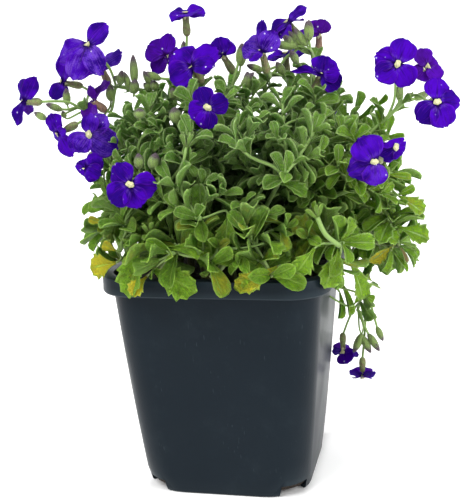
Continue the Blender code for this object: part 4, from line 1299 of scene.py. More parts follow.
class Finish:
    """A material being made: one Principled shader and the nodes that feed it."""

    def __init__(self, name):
        self.material = bpy.data.materials.new(name)
        self.material.use_nodes = True
        self.tree = self.material.node_tree
        self.shader = self.tree.nodes["Principled BSDF"]

    def node(self, kind, settings, inputs, output=0):
        """One output of a new node, whose settings are set before its sockets."""
        node = self.tree.nodes.new(kind)
        for key, value in settings.items():
            setattr(node, key, value)
        for key, value in inputs.items():
            self.plug(node.inputs[key], value)
        return Value(self, node.outputs[output])

    def plug(self, socket, value):
        """Link a value to a socket, or set the socket's own value."""
        if isinstance(value, Value):
            self.tree.links.new(value.socket, socket)
        elif socket.type == "RGBA":
            socket.default_value = (*value[:3], 1.0)
        else:
            socket.default_value = value

    def feed(self, inputs):
        """Feed the shader's sockets, and give back the material."""
        for key, value in inputs.items():
            self.plug(self.shader.inputs[key], value)
        return self.material

    def place(self):
        """Object coordinates."""
        return self.node("ShaderNodeTexCoord", {}, {}, "Object")

    def layer(self, name):
        """A layer of the mesh."""
        return self.node("ShaderNodeAttribute", {"attribute_name": name}, {}, "Fac")

    def split(self, vector, axis):
        """One number of a vector."""
        return self.node("ShaderNodeSeparateXYZ", {}, {0: vector}, axis)

    def vector(self, x, y, z):
        """A vector from three numbers."""
        return self.node("ShaderNodeCombineXYZ", {}, {0: x, 1: y, 2: z})

    def noise(self, vector, scale, detail=2.0, roughness=0.5):
        """Smooth noise from 0 to 1."""
        return self.node("ShaderNodeTexNoise", {},
                         {"Vector": vector, "Scale": scale, "Detail": detail, "Roughness": roughness})

    def streaks(self, place, across, up, detail):
        """Noise that is drawn out up and down."""
        x, y, z = (self.split(place, axis) for axis in range(3))
        return self.noise(self.vector(x * across, y * across, z * up), 1.0, detail)

    def cells(self, vector, scale):
        """Distance to the nearest of scattered points."""
        return self.node("ShaderNodeTexVoronoi", {}, {"Vector": vector, "Scale": scale}, "Distance")

    def ramp(self, value, low, high, start=0.0, end=1.0):
        """A value carried smoothly from one range to another."""
        return self.node("ShaderNodeMapRange", {"interpolation_type": "SMOOTHSTEP"},
                         {0: value, 1: low, 2: high, 3: start, 4: end})

    def between(self, value, start, end):
        """A noise, whose values lie mostly near the middle, carried to a range."""
        return self.ramp(value, 0.3, 0.7, start, end)

    def mix(self, share, first, second):
        """Two colours mixed by a share."""
        return self.node("ShaderNodeMix", {"data_type": "RGBA"}, {0: share, 6: first, 7: second}, 2)

    def relief(self, height, distance):
        """A bumped normal from a height of 0 to 1."""
        return self.node("ShaderNodeBump", {}, {"Strength": 1.0, "Distance": distance, "Height": height})


def pot_finish(settings):
    """Moulded plastic: darker base, paler worn edges, fine upright scratches."""
    finish = Finish("pot_plastic")
    place = finish.place()
    cloudy = finish.noise(place, 26, 3)
    grain = finish.noise(place, 900, 2)
    upright = finish.streaks(place, 1700, 120, 2)
    scratch = finish.ramp(upright, 0.68, 0.74) * finish.ramp(finish.noise(place, 60, 2), 0.50, 0.60)
    dust = finish.ramp(finish.noise(place, 55, 5, 0.7), 0.52, 0.80) * 0.12
    wear = finish.ramp(finish.node("ShaderNodeNewGeometry", {}, {}, "Pointiness"), 0.515, 0.56)
    colour = finish.mix(cloudy, settings.colour, settings.pale_colour)
    colour = finish.mix(dust + scratch * 0.55, colour, settings.dust_colour)
    colour = finish.mix(wear * 0.4, colour, settings.dust_colour)
    rough = finish.between(cloudy, settings.roughness - 0.05, settings.roughness + 0.06) + scratch * 0.08
    height = grain * 0.5 + upright * 0.35 + cloudy * 0.4
    return finish.feed({"Base Color": colour, "Roughness": rough, "Specular IOR Level": 0.08,
                        "Normal": finish.relief(height, 0.00006)})


def peat_finish(settings):
    """Dark moist peat with paler fibres."""
    finish = Finish("peat")
    place = finish.place()
    crumb = finish.cells(place, 420)
    fine = finish.noise(place, 1500, 4, 0.7)
    fibre = finish.ramp(finish.noise(place, 500, 5, 0.8), 0.58, 0.74)
    colour = finish.mix(fine, settings.colour, settings.pale_colour)
    colour = finish.mix(fibre * 0.6, colour, settings.fibre_colour)
    return finish.feed({"Base Color": colour, "Roughness": finish.between(fine, 0.75, 0.95),
                        "Normal": finish.relief(crumb + fine * 0.5, 0.0012)})


def leaf_finish(settings):
    """Green blades with pale downy margins and ribs, brighter low on the plant, painted lighter on the right as light
    from that side, and painted darker deep inside as shade.
    """
    finish = Finish("leaf")
    place = finish.place()
    height = finish.split(place, 2)
    across = abs(finish.layer("across"))
    along = finish.layer("along")
    tone = finish.layer("tone")
    age = finish.layer("age")
    yellow = finish.layer("yellow")
    back = finish.layer("back")
    depth = finish.layer("depth")
    blotch = finish.noise(place, 260, 3)
    down = finish.ramp(finish.noise(place, 1500, 4, 0.8), 0.46, 0.64)
    # Painted light: leaves towards the right are painted brighter and yellower, with paler ribs, margins and down and
    # less painted shade, as if lit from that side
    painted_light_right = finish.ramp(finish.split(place, 0), 0.020, 0.080)
    # The lowest leaves' own brighter green, reaching higher on the right with the painted light there
    low = finish.ramp(height - painted_light_right * 0.030, 0.150, 0.100)
    colour = finish.mix(age, settings.young_colour, settings.mature_colour)
    colour = finish.mix(low * (tone * 0.7 + 0.3), colour, settings.low_colour)
    colour = finish.mix(finish.ramp(blotch, 0.35, 0.70) * 0.55, colour, settings.deep_colour)
    colour = finish.mix(finish.ramp(tone, 0.45, 1.0) * 0.35, colour, settings.young_colour)
    colour = finish.mix(painted_light_right * (0.35 + 0.35 * tone), colour, settings.low_colour)
    colour = finish.mix(finish.ramp(finish.noise(place, 620, 3), 0.50, 0.72) * 0.45, colour, settings.deep_colour)
    colour = finish.mix(finish.ramp(blotch + yellow, 0.62, 1.25), colour, settings.yellow_colour)
    colour = finish.mix(finish.ramp(blotch * 0.5 + yellow, 1.5, 1.9), colour, settings.dry_colour)
    pale = finish.mix(low * (1 - 0.7 * painted_light_right), settings.margin_colour, settings.low_margin_colour)
    rib = (1 - finish.ramp(across, 0.03, 0.15)) * (1 - finish.ramp(along, 0.7, 0.98))
    slant = (along - across * 0.42) * 46
    veins = finish.ramp(slant.maths("SINE", slant), 0.80, 1.0) * 0.5
    colour = finish.mix(rib * (0.6 + 0.35 * painted_light_right) + veins * 0.45, colour, pale)
    margin = finish.ramp(across + (down - 0.5) * 0.10, 0.76, 0.92)
    margin = margin.maths("MAXIMUM", margin, finish.ramp(along, 0.88, 0.98))
    colour = finish.mix(margin * (0.90 - low * (0.30 - 0.25 * painted_light_right)), colour, pale)
    colour = finish.mix(back * 0.5, colour, settings.back_colour)
    colour = finish.mix(down * (0.34 - low * (0.31 - 0.18 * painted_light_right)), colour, settings.down_colour)
    # Painted shade: leaves deep inside the dome are darkened towards the shade colour, less so on the right
    colour = finish.mix(depth * (0.85 - 0.60 * painted_light_right), colour, settings.shade_colour)
    relief = finish.relief(down * 0.6 - rib - veins * 1.5 + blotch, 0.0007)
    return finish.feed({"Base Color": colour, "Roughness": finish.between(blotch, 0.42, 0.60),
                        "Sheen Weight": 0.04, "Sheen Roughness": 0.5, "Specular IOR Level": 0.14,
                        "Subsurface Weight": settings.glow, "Subsurface Radius": (0.3, 1.0, 0.1),
                        "Subsurface Scale": 0.0016, "Normal": relief})


def stem_finish(settings):
    """Pale green stems, browner and barked near the soil."""
    finish = Finish("stem")
    place = finish.place()
    streak = finish.streaks(place, 900, 160, 3)
    fine = finish.noise(place, 2600, 2)
    height = finish.split(place, 2)
    low = finish.ramp(height, 0.112, 0.090) * finish.ramp(height, 0.078, 0.086)
    colour = finish.mix(streak, settings.stem_colour, settings.back_colour)
    colour = finish.mix(low * streak * 1.4, colour, settings.bark_colour)
    return finish.feed({"Base Color": colour, "Roughness": finish.between(streak, 0.50, 0.62),
                        "Sheen Weight": 0.2, "Normal": finish.relief(streak + fine * 0.4, 0.0002)})


def petal_finish(settings):
    """Deep violet-blue petals with fine veins and paler backs, with painted shade in patches, along the middle crease
    and at the base below a pale streak, and painted highlights as pale patches and specks.
    """
    finish = Finish("petal")
    place = finish.place()
    across = finish.layer("across")
    along = finish.layer("along")
    tone = finish.layer("tone")
    back = finish.layer("back")
    wilted = finish.layer("age")
    fan = finish.noise(finish.vector(across * 11, along * 1.2, tone * 20), 1.0, 4, 0.65)
    veins = finish.ramp(fan, 0.50, 0.68)
    velvet = finish.noise(place, 1800, 2)
    broad = finish.noise(place, 170, 2)
    # Painted shade: noise and each petal's tone darken patches of the petals as if folds lay in shade
    painted_petal_shade = finish.ramp(broad + (tone - 0.5) * 0.35, 0.32, 0.62)
    colour = finish.mix(painted_petal_shade, settings.deep_colour, settings.petal_colour)
    colour = finish.mix(veins * 0.45, colour, settings.vein_colour)
    # Painted shade along the middle crease near the base of each petal
    crease = (1 - finish.ramp(abs(across), 0.0, 0.10)) * (1 - finish.ramp(along, 0.35, 0.75))
    colour = finish.mix(crease * 0.7, colour, settings.base_shade_colour)
    rim = finish.ramp(abs(across), 0.86, 1.0)
    rim = rim.maths("MAXIMUM", rim, finish.ramp(along, 0.95, 1.0))
    colour = finish.mix(rim * 0.45, colour, settings.vein_colour)
    streak = finish.ramp(along, 0.10, 0.17) * (1 - finish.ramp(along, 0.20, 0.34)) * finish.ramp(fan, 0.46, 0.60)
    colour = finish.mix(streak * 0.30, colour, settings.streak_colour)
    # Painted shade at the base of each petal round the throat
    colour = finish.mix(1 - finish.ramp(along, 0.06, 0.22), colour, settings.base_shade_colour)
    # Painted highlight: pale patches on the fronts of some flowers' petals, as strong as their layer yellow
    pale = finish.layer("yellow") * finish.ramp(fan * 0.5 + velvet * 0.3 + broad * 0.6, 0.62, 0.86)
    colour = finish.mix(pale * (1 - back), colour, settings.streak_colour)
    colour = finish.mix(back * 0.60, colour, settings.back_colour)
    colour = finish.mix(wilted * 0.75, colour, settings.wilted_colour)
    # Painted highlight: small pale glints scattered over the petals
    painted_glint = finish.ramp(finish.cells(place, 300), 0.13, 0.08) * finish.ramp(broad, 0.52, 0.58)
    colour = finish.mix(painted_glint * 0.6, colour, settings.painted_glint_colour)
    relief = finish.relief(veins * 0.7 + velvet * 0.3 + broad, 0.0004)
    return finish.feed({"Base Color": colour, "Roughness": finish.between(velvet, 0.60, 0.75),
                        "Specular IOR Level": 0.04, "Normal": relief})


def throat_finish(settings):
    """Cream rings that turn olive and then dark down the throat, the dark being painted shade."""
    finish = Finish("throat")
    place = finish.place()
    fine = finish.noise(place, 2400, 2)
    tone = finish.layer("tone")
    colour = finish.mix(finish.ramp(tone, 0.05, 0.45), settings.eye_colour, settings.anther_colour)
    colour = finish.mix(finish.ramp(fine, 0.45, 0.65) * 0.4, colour, settings.anther_colour)
    # Painted shade down inside the throat
    colour = finish.mix(finish.ramp(tone, 0.45, 0.9), colour, settings.pit_shade_colour)
    return finish.feed({"Base Color": colour, "Roughness": finish.between(fine, 0.5, 0.7),
                        "Normal": finish.relief(fine, 0.0001)})


def lengthwise(finish, place):
    """Streaks that run mostly up and down."""
    return finish.ramp(finish.streaks(place, 1300, 260, 3), 0.50, 0.68)


def calyx_finish(settings):
    """Olive-brown calyces with darker ribs, some of them pinkish, and pale down."""
    finish = Finish("calyx")
    place = finish.place()
    along = finish.layer("along")
    tone = finish.layer("tone")
    blotch = finish.noise(place, 700, 3)
    down = finish.ramp(finish.noise(place, 3500, 3, 0.7), 0.5, 0.72)
    colour = finish.mix(finish.ramp(blotch, 0.35, 0.65), settings.calyx_colour, settings.calyx_green)
    colour = finish.mix(finish.ramp(tone, 0.55, 0.95) * 0.7, colour, settings.calyx_pink)
    colour = finish.mix(lengthwise(finish, place) * 0.45, colour, settings.bud_tip_colour)
    colour = finish.mix(finish.ramp(along, 0.55, 1.0) * 0.55, colour, settings.calyx_tip)
    colour = finish.mix(down * 0.25, colour, settings.tube_colour)
    return finish.feed({"Base Color": colour, "Roughness": finish.between(blotch, 0.55, 0.68),
                        "Sheen Weight": 0.2, "Normal": finish.relief(down + blotch, 0.0002)})


def tube_finish(settings):
    """The pale tube between calyx and petals."""
    finish = Finish("tube")
    fine = finish.noise(finish.place(), 900, 3)
    colour = finish.mix(finish.between(fine, 0.0, 1.0), settings.tube_colour, settings.eye_colour)
    return finish.feed({"Base Color": colour, "Roughness": finish.between(fine, 0.5, 0.65),
                        "Normal": finish.relief(fine, 0.0001)})


def bud_finish(settings):
    """Downy green buds whose tips are dark purple-brown."""
    finish = Finish("bud")
    place = finish.place()
    along = finish.layer("along")
    blotch = finish.noise(place, 800, 3)
    down = finish.ramp(finish.noise(place, 3500, 3, 0.7), 0.5, 0.72)
    colour = finish.mix(blotch, settings.bud_colour, settings.calyx_green)
    colour = finish.mix(lengthwise(finish, place) * 0.55, colour, settings.bud_tip_colour)
    colour = finish.mix(finish.ramp(along + (blotch - 0.5) * 0.3, 0.52, 0.86), colour, settings.bud_tip_colour)
    colour = finish.mix(down * 0.28, colour, settings.tube_colour)
    return finish.feed({"Base Color": colour, "Roughness": finish.between(blotch, 0.5, 0.66),
                        "Sheen Weight": 0.2, "Normal": finish.relief(down + blotch, 0.0002)})


def floor_finish(settings):
    """Plain pale floor that glows faintly as painted light to wash out its shadows, the glow fading out under the pot
    as a painted contact shadow.
    """
    finish = Finish("floor")
    place = finish.place()
    aside = abs(finish.split(place, 0))
    aside = aside.maths("MAXIMUM", aside, abs(finish.split(place, 1)))
    # Painted shadow: the floor's glow is dark under the pot and full beyond its foot
    glow = finish.ramp(aside, FOOT_WIDTH * 0.46, FOOT_WIDTH * 0.56)
    colour = finish.mix(glow, (0.0, 0.0, 0.0), (1.0, 1.0, 1.0))
    # Painted light: the floor glows, lifting its shadows
    return finish.feed({"Base Color": settings.floor_colour, "Roughness": 0.9, "Emission Color": colour,
                        "Emission Strength": 0.40})


def colour_property(name, description, default):
    """A colour that a user may change."""
    return FloatVectorProperty(name=name, description=description, default=default, subtype="COLOR", size=3,
                               min=0.0, max=1.0)


class PotSettings(bpy.types.PropertyGroup):
    """Sizes and colours of the pot."""

    side_bow: FloatProperty(name="Side bow", description="How far the flat sides bow out halfway up",
                            default=0.35 * MM, unit="LENGTH")
    roughness: FloatProperty(name="Roughness", description="Roughness of the plastic", default=0.34,
                             min=0.0, max=1.0, subtype="FACTOR")
    colour: colour_property("Colour", "Plastic in its darker places", (0.0050, 0.0095, 0.0145))
    pale_colour: colour_property("Pale colour", "Plastic in its paler places", (0.0085, 0.0145, 0.0205))
    dust_colour: colour_property("Dust colour", "Dust, scratches and worn edges", (0.035, 0.050, 0.060))


class SoilSettings(bpy.types.PropertyGroup):
    """Sizes and colours of the soil."""

    crumbs: IntProperty(name="Crumbs", description="Loose crumbs on the soil", default=150, min=0, max=600)
    crumb_size: FloatProperty(name="Crumb size", description="Size of the largest crumbs", default=3.2 * MM,
                              unit="LENGTH")
    relief: FloatProperty(name="Relief", description="Height of the soil's bumps", default=1.6 * MM, unit="LENGTH")
    colour: colour_property("Colour", "Peat in its darker places", (0.010, 0.006, 0.003))
    pale_colour: colour_property("Pale colour", "Peat in its paler places", (0.035, 0.020, 0.010))
    fibre_colour: colour_property("Fibre colour", "Fibres in the peat", (0.10, 0.062, 0.030))


class FoliageSettings(bpy.types.PropertyGroup):
    """Numbers and colours of the leafy shoots."""

    twigs: IntProperty(name="Twigs", description="Fine twigs between the shoots", default=300, min=0, max=300)
    twig_leaves: IntProperty(name="Twig leaves", description="Most leaves on a twig", default=11, min=0, max=20)
    glow: FloatProperty(name="Glow", description="How much light the leaves let through", default=0.12,
                        min=0.0, max=1.0, subtype="FACTOR")
    young_colour: colour_property("Young leaf", "Grey-green of the leaves at the tips", (0.200, 0.390, 0.046))
    mature_colour: colour_property("Grown leaf", "Green of the grown leaves", (0.088, 0.245, 0.010))
    deep_colour: colour_property("Deep green", "Darker blotches", (0.028, 0.100, 0.005))
    # Painted shade for the leaves deep inside the plant
    shade_colour: colour_property("Shade", "Leaves deep inside the plant", (0.026, 0.062, 0.008))
    # The lowest leaves' own green, also painted on the right-hand leaves as light from that side
    low_colour: colour_property("Low leaf", "Bright green of the lowest leaves", (0.250, 0.470, 0.003))
    yellow_colour: colour_property("Yellowed leaf", "Leaves that fade", (0.56, 0.50, 0.020))
    dry_colour: colour_property("Dry leaf", "Leaves that have dried up", (0.300, 0.190, 0.090))
    margin_colour: colour_property("Margin", "Pale margins and ribs", (0.480, 0.700, 0.260))
    low_margin_colour: colour_property("Low margin", "Margins and ribs of the lowest leaves", (0.440, 0.720, 0.090))
    back_colour: colour_property("Underside", "Undersides of the leaves", (0.190, 0.320, 0.070))
    down_colour: colour_property("Down", "Fine grey hairs", (0.420, 0.540, 0.260))
    stem_colour: colour_property("Stem", "Young stems", (0.230, 0.370, 0.085))
    bark_colour: colour_property("Bark", "Stems near the soil", (0.130, 0.085, 0.045))


class FlowerSettings(bpy.types.PropertyGroup):
    """Colours of the flowers, calyces and buds."""

    petal_colour: colour_property("Petal", "Petals in full light", (0.052, 0.000, 0.370))
    # Painted shade in patches on the petals
    deep_colour: colour_property("Deep petal", "Darker parts of the petals", (0.016, 0.000, 0.160))
    vein_colour: colour_property("Vein", "Veins and rims of the petals", (0.130, 0.008, 0.520))
    # Painted shade at the bases and along the creases of the petals
    base_shade_colour: colour_property("Petal base", "Bases and creases of the petals", (0.010, 0.000, 0.080))
    streak_colour: colour_property("Streak", "Pale streaks above the bases", (0.300, 0.140, 0.780))
    back_colour: colour_property("Petal back", "Backs of the petals", (0.110, 0.015, 0.420))
    wilted_colour: colour_property("Old petal", "Petals of the oldest flowers", (0.130, 0.010, 0.300))
    # Painted glints on the petals
    painted_glint_colour: colour_property("Spark", "Pale specks", (0.80, 0.78, 0.90))
    eye_colour: colour_property("Eye", "Ring round the throat", (0.700, 0.670, 0.400))
    anther_colour: colour_property("Anther", "Anthers in the throat", (0.360, 0.390, 0.070))
    # Painted shade in the middle of the throat
    pit_shade_colour: colour_property("Pit", "Middle of the throat", (0.020, 0.022, 0.008))
    tube_colour: colour_property("Tube", "Pale tube and hairs", (0.680, 0.680, 0.400))
    calyx_colour: colour_property("Calyx", "Olive-brown calyx", (0.185, 0.150, 0.065))
    calyx_green: colour_property("Calyx green", "Greener parts", (0.210, 0.290, 0.070))
    calyx_pink: colour_property("Calyx pink", "Pinkish calyces", (0.300, 0.120, 0.100))
    calyx_tip: colour_property("Calyx tip", "Darker tips", (0.110, 0.050, 0.060))
    bud_colour: colour_property("Bud", "Green of the buds", (0.170, 0.310, 0.045))
    bud_tip_colour: colour_property("Bud tip", "Dark tips of the buds", (0.050, 0.022, 0.045))


class StageSettings(bpy.types.PropertyGroup):
    """Camera, lights and floor."""

    distance: FloatProperty(name="Distance", description="Camera to the plant's middle", default=431.47 * MM,
                            unit="LENGTH")
    target_height: FloatProperty(name="Target height", description="Height that the camera looks at",
                                 default=97.13 * MM, unit="LENGTH")
    azimuth: FloatProperty(name="Azimuth", description="How far round to the right the camera stands",
                           default=math.radians(12.92), subtype="ANGLE")
    elevation: FloatProperty(name="Elevation", description="How far above level the camera stands",
                             default=math.radians(12.38), subtype="ANGLE")
    roll: FloatProperty(name="Roll", description="Tilt of the camera", default=math.radians(-2.41), subtype="ANGLE")
    lens: FloatProperty(name="Lens", description="Focal length in millimetres on a 36 mm frame", default=72.33)
    shift: FloatProperty(name="Shift", description="Sideways shift of the frame", default=0.0042)
    key_strength: FloatProperty(name="Key light", description="Strength of the soft light from the upper left",
                                default=2.6)
    fill_power: FloatProperty(name="Fill light", description="Power of the light at the right", default=8.0,
                              unit="POWER")
    world_strength: FloatProperty(name="Surrounding light", description="Strength of the white surroundings",
                                  default=0.5)
    floor_colour: colour_property("Floor", "Plain pale floor", (0.90, 0.90, 0.90))


def square_ring(bm, half_width, radius, height, segments):
    """A level rounded square, cut from a square's four corners, as a face."""
    ring = bmesh.ops.create_circle(bm, cap_ends=True, segments=4, radius=half_width * math.sqrt(2))["verts"]
    turn = Matrix.Rotation(math.radians(45), 3, "Z")
    bmesh.ops.rotate(bm, cent=(0, 0, 0), matrix=turn, verts=ring)
    bmesh.ops.translate(bm, vec=(0, 0, height), verts=ring)
    bmesh.ops.bevel(bm, geom=ring, offset=radius, offset_type="OFFSET", segments=segments, profile=0.5,
                    affect="VERTICES", material=-1)
    return bm.faces[:]


def ring_map(half_width, radius, old_half, old_radius):
    """A function that carries a point of one rounded square to another."""
    old_middle = old_half - old_radius
    middle = half_width - radius

    def carry(value):
        if abs(value) <= old_middle:
            return value * middle / old_middle
        return math.copysign(middle + (abs(value) - old_middle) * radius / old_radius, value)
    return carry


def grow_walls(bm, face, rings):
    """Extrude a rounded square face through rings of half width, corner radius and height."""
    half, radius, _ = rings[0]
    for next_half, next_radius, height in rings[1:]:
        grown = bmesh.ops.extrude_face_region(bm, geom=[face])["geom"]
        bmesh.ops.delete(bm, geom=[face], context="FACES_ONLY")
        face = next(item for item in grown if isinstance(item, bmesh.types.BMFace))
        carry = ring_map(next_half, next_radius, half, radius)
        for vert in face.verts:
            vert.co = Vector((carry(vert.co.x), carry(vert.co.y), height))
        half, radius = next_half, next_radius
    return face


def pot_rings(bow):
    """Half width, corner radius and height of each ring of the pot, up its outside and down its inside."""
    def wall(height, inset=0.0, swell=0.0):
        return pot_half_width(height) - inset + swell, pot_radius(height) - inset, height

    def rim(height, inset):
        return RIM_WIDTH / 2 - inset, CORNER_RADIUS + RIM_ROUNDING - inset, height

    rings = [wall(0, EDGE_BEVEL)]
    rings += [wall(EDGE_BEVEL * share, EDGE_BEVEL * (1 - share) ** 2) for share in (0.3, 0.65, 1.0)]
    under_rim = NECK_HEIGHT - 0.2 * MM
    for step in range(1, WALL_STEPS + 1):
        height = EDGE_BEVEL + (under_rim - EDGE_BEVEL) * step / WALL_STEPS
        rings.append(wall(height, 0.0, bow * math.sin(math.pi * step / WALL_STEPS)))
    rings += [
        rim(NECK_HEIGHT, 1.6 * POT_WALL),
        rim(NECK_HEIGHT - 0.1 * MM, 0.35 * POT_WALL),
        rim(NECK_HEIGHT + 0.5 * MM, 0.0),
        rim(NECK_HEIGHT + 3.2 * MM, 0.1 * MM),
        rim(POT_HEIGHT - EDGE_BEVEL, 0.0),
        rim(POT_HEIGHT - 0.25 * EDGE_BEVEL, 0.25 * EDGE_BEVEL),
        rim(POT_HEIGHT, EDGE_BEVEL),
        wall(POT_HEIGHT, POT_WALL - 0.2 * MM),
        wall(POT_HEIGHT - 0.6 * MM, POT_WALL),
    ]
    return rings + [wall(height, POT_WALL) for height in (SOIL_TOP, FACET_HEIGHT, FLOOR_THICKNESS)]


class AUBRIETA_OT_pot(bpy.types.Operator):
    """Square nursery pot with a rim band and drain notches"""

    bl_idname = "aubrieta.pot"
    bl_label = "Pot"

    def execute(self, context):
        settings = context.scene.aubrieta_pot
        bm = new_bmesh()
        rings = pot_rings(settings.side_bow)
        half, radius, height = rings[0]
        foot = square_ring(bm, half, radius, height, 8)[0]
        bmesh.ops.duplicate(bm, geom=[foot])
        bm.faces.ensure_lookup_table()
        grow_walls(bm, bm.faces[-1], rings)
        bmesh.ops.remove_doubles(bm, verts=bm.verts, dist=1e-6)
        bmesh.ops.recalc_face_normals(bm, faces=bm.faces)
        cut_notches(bm)
        pot = make_piece("pot_shell", bm, [pot_finish(settings)], ["pot"])
        for edge in pot.data.edges:
            edge.use_edge_sharp = False
        pot.data.set_sharp_from_angle(angle=SHARP_ANGLE)
        return {"FINISHED"}


def cut_notches(bm):
    """Cut a drain notch out of each foot corner."""
    diagonal = (pot_half_width(0) - pot_radius(0)) * math.sqrt(2) + pot_radius(0)
    whole = add_mesh("whole_pot", bm.copy())
    tool = bmesh.new()
    for corner in range(4):
        cube = bmesh.ops.create_cube(tool, size=1.0)["verts"]
        bmesh.ops.scale(tool, vec=(2 * NOTCH_DEPTH, NOTCH_WIDTH, 2 * NOTCH_HEIGHT), verts=cube)
        bmesh.ops.translate(tool, vec=(diagonal, 0, 0), verts=cube)
        turn = Matrix.Rotation(math.radians(45 + 90 * corner), 3, "Z")
        bmesh.ops.rotate(tool, cent=(0, 0, 0), matrix=turn, verts=cube)
    notches = add_mesh("notches", tool)
    modifier = whole.modifiers.new("Notches", "BOOLEAN")
    modifier.operation = "DIFFERENCE"
    modifier.object = notches
    modifier.solver = "EXACT"
    graph = bpy.context.evaluated_depsgraph_get()
    cut = bpy.data.meshes.new_from_object(whole.evaluated_get(graph))
    bm.clear()
    bm.from_mesh(cut)
    for thing in (whole, notches):
        bpy.data.objects.remove(thing, do_unlink=True)


class AUBRIETA_OT_soil(bpy.types.Operator):
    """Crumbly peat that fills the pot"""

    bl_idname = "aubrieta.soil"
    bl_label = "Soil"

    def execute(self, context):
        settings = context.scene.aubrieta_soil
        draw = random.Random(f"{SEED} soil")
        inset = POT_WALL + GAP
        bm = new_bmesh()
        half, radius = pot_half_width(SOIL_TOP) - inset, pot_radius(SOIL_TOP) - inset
        face = square_ring(bm, half, radius, SOIL_TOP, 6)[0]
        for share in SOIL_SHARES:
            bmesh.ops.inset_region(bm, faces=[face], thickness=SOIL_INSET * half, use_even_offset=False)
            for vert in face.verts:
                lift = noise.noise(vert.co * SOIL_LUMPS) + 0.5 * noise.noise(vert.co * SOIL_GRAINS)
                vert.co.z = SOIL_TOP + settings.relief * (lift - 0.2 * share)
        top = bm.faces[:]
        rim_edges = [edge for edge in bm.edges if len(edge.link_faces) == 1]
        for height in (FACET_HEIGHT, FLOOR_THICKNESS + GAP):
            ring, rim_edges = grow_ring(bm, rim_edges)
            next_half, next_radius = pot_half_width(height) - inset, pot_radius(height) - inset
            carry = ring_map(next_half, next_radius, half, radius)
            for vert in ring:
                vert.co = Vector((carry(vert.co.x), carry(vert.co.y), height))
            half, radius = next_half, next_radius
        bmesh.ops.contextual_create(bm, geom=rim_edges)
        bmesh.ops.triangulate(bm, faces=[item for item in top if item.is_valid and len(item.verts) > 4])
        reach = pot_half_width(SOIL_TOP) - inset - CRUMB_CLEARANCE
        for _ in range(settings.crumbs):
            spot = Vector((draw.uniform(-reach, reach), draw.uniform(-reach, reach), SOIL_TOP + 0.4 * MM))
            if abs(spot.x) + abs(spot.y) > 1.7 * reach:
                continue
            crumb = bmesh.ops.create_icosphere(bm, subdivisions=2, radius=0.5)["verts"]
            size = settings.crumb_size * draw.uniform(0.3, 1.0)
            seed = Vector((draw.uniform(0, 50), 0, 0))
            for vert in crumb:
                vert.co *= 1 + 0.5 * noise.noise(vert.co * 2.2 + seed)
            bmesh.ops.scale(bm, vec=(size, size * draw.uniform(0.6, 1.0), size * draw.uniform(0.5, 0.9)), verts=crumb)
            turn = Matrix.Rotation(draw.uniform(0, math.tau), 3, "Z")
            bmesh.ops.rotate(bm, cent=(0, 0, 0), matrix=turn, verts=crumb)
            bmesh.ops.translate(bm, vec=spot, verts=crumb)
        make_piece("soil_bed", bm, [peat_finish(settings)], ["soil"])
        return {"FINISHED"}


def leaf_forms():
    """The leaf blades that are repeated: plain ones for the tips and toothed ones lower down."""
    draw = random.Random(f"{SEED} forms")
    plain = []
    toothed = []
    for number in range(FORM_KINDS):
        phase = draw.uniform(0, math.tau)
        plain.append(blade_form(f"plain_leaf_{number}", PLAIN_OUTLINE, 4, draw.uniform(0.30, 0.55), 0.026, phase,
                                0.030))
        toothed.append(blade_form(f"toothed_leaf_{number}", TOOTHED_OUTLINE, 4, draw.uniform(0.16, 0.42), 0.045,
                                  phase, 0.024))
    return plain, toothed


def lay_leaf(bm, form, blade, draw, age, spread):
    """A leaf whose tone, age and fading are drawn, and whose painted shade comes from how deep it lies."""
    lay_blade(bm, form, blade, tone=draw.random(), age=min(1.0, age + spread * draw.random()),
              yellow=fading(blade, draw), depth=depth_of(blade.root + blade.ahead * blade.length / 2))


def add_rosette(bm, forms, place, rising, draw):
    """Small leaves round the top of a bare stem."""
    for number in range(ROSETTE_LEAVES):
        turn = Matrix.Rotation(GOLDEN_ANGLE * number + draw.uniform(-0.2, 0.2), 3, rising)
        out = turn @ rising.orthogonal().normalized()
        ahead = (rising + out * (ROSETTE_OPENS + ROSETTE_STEP * number)).normalized()
        face = (rising - ahead * rising.dot(ahead)).normalized()
        length = draw.uniform(*ROSETTE_LENGTHS) * MM
        blade = Blade(place - rising * 0.5 * MM, ahead, face, length, length * ROSETTE_WIDTH, ROSETTE_BEND,
                      (), 0)
        lay_blade(bm, forms[number % FORM_KINDS], blade, tone=draw.random(), age=0.2, depth=0.0)


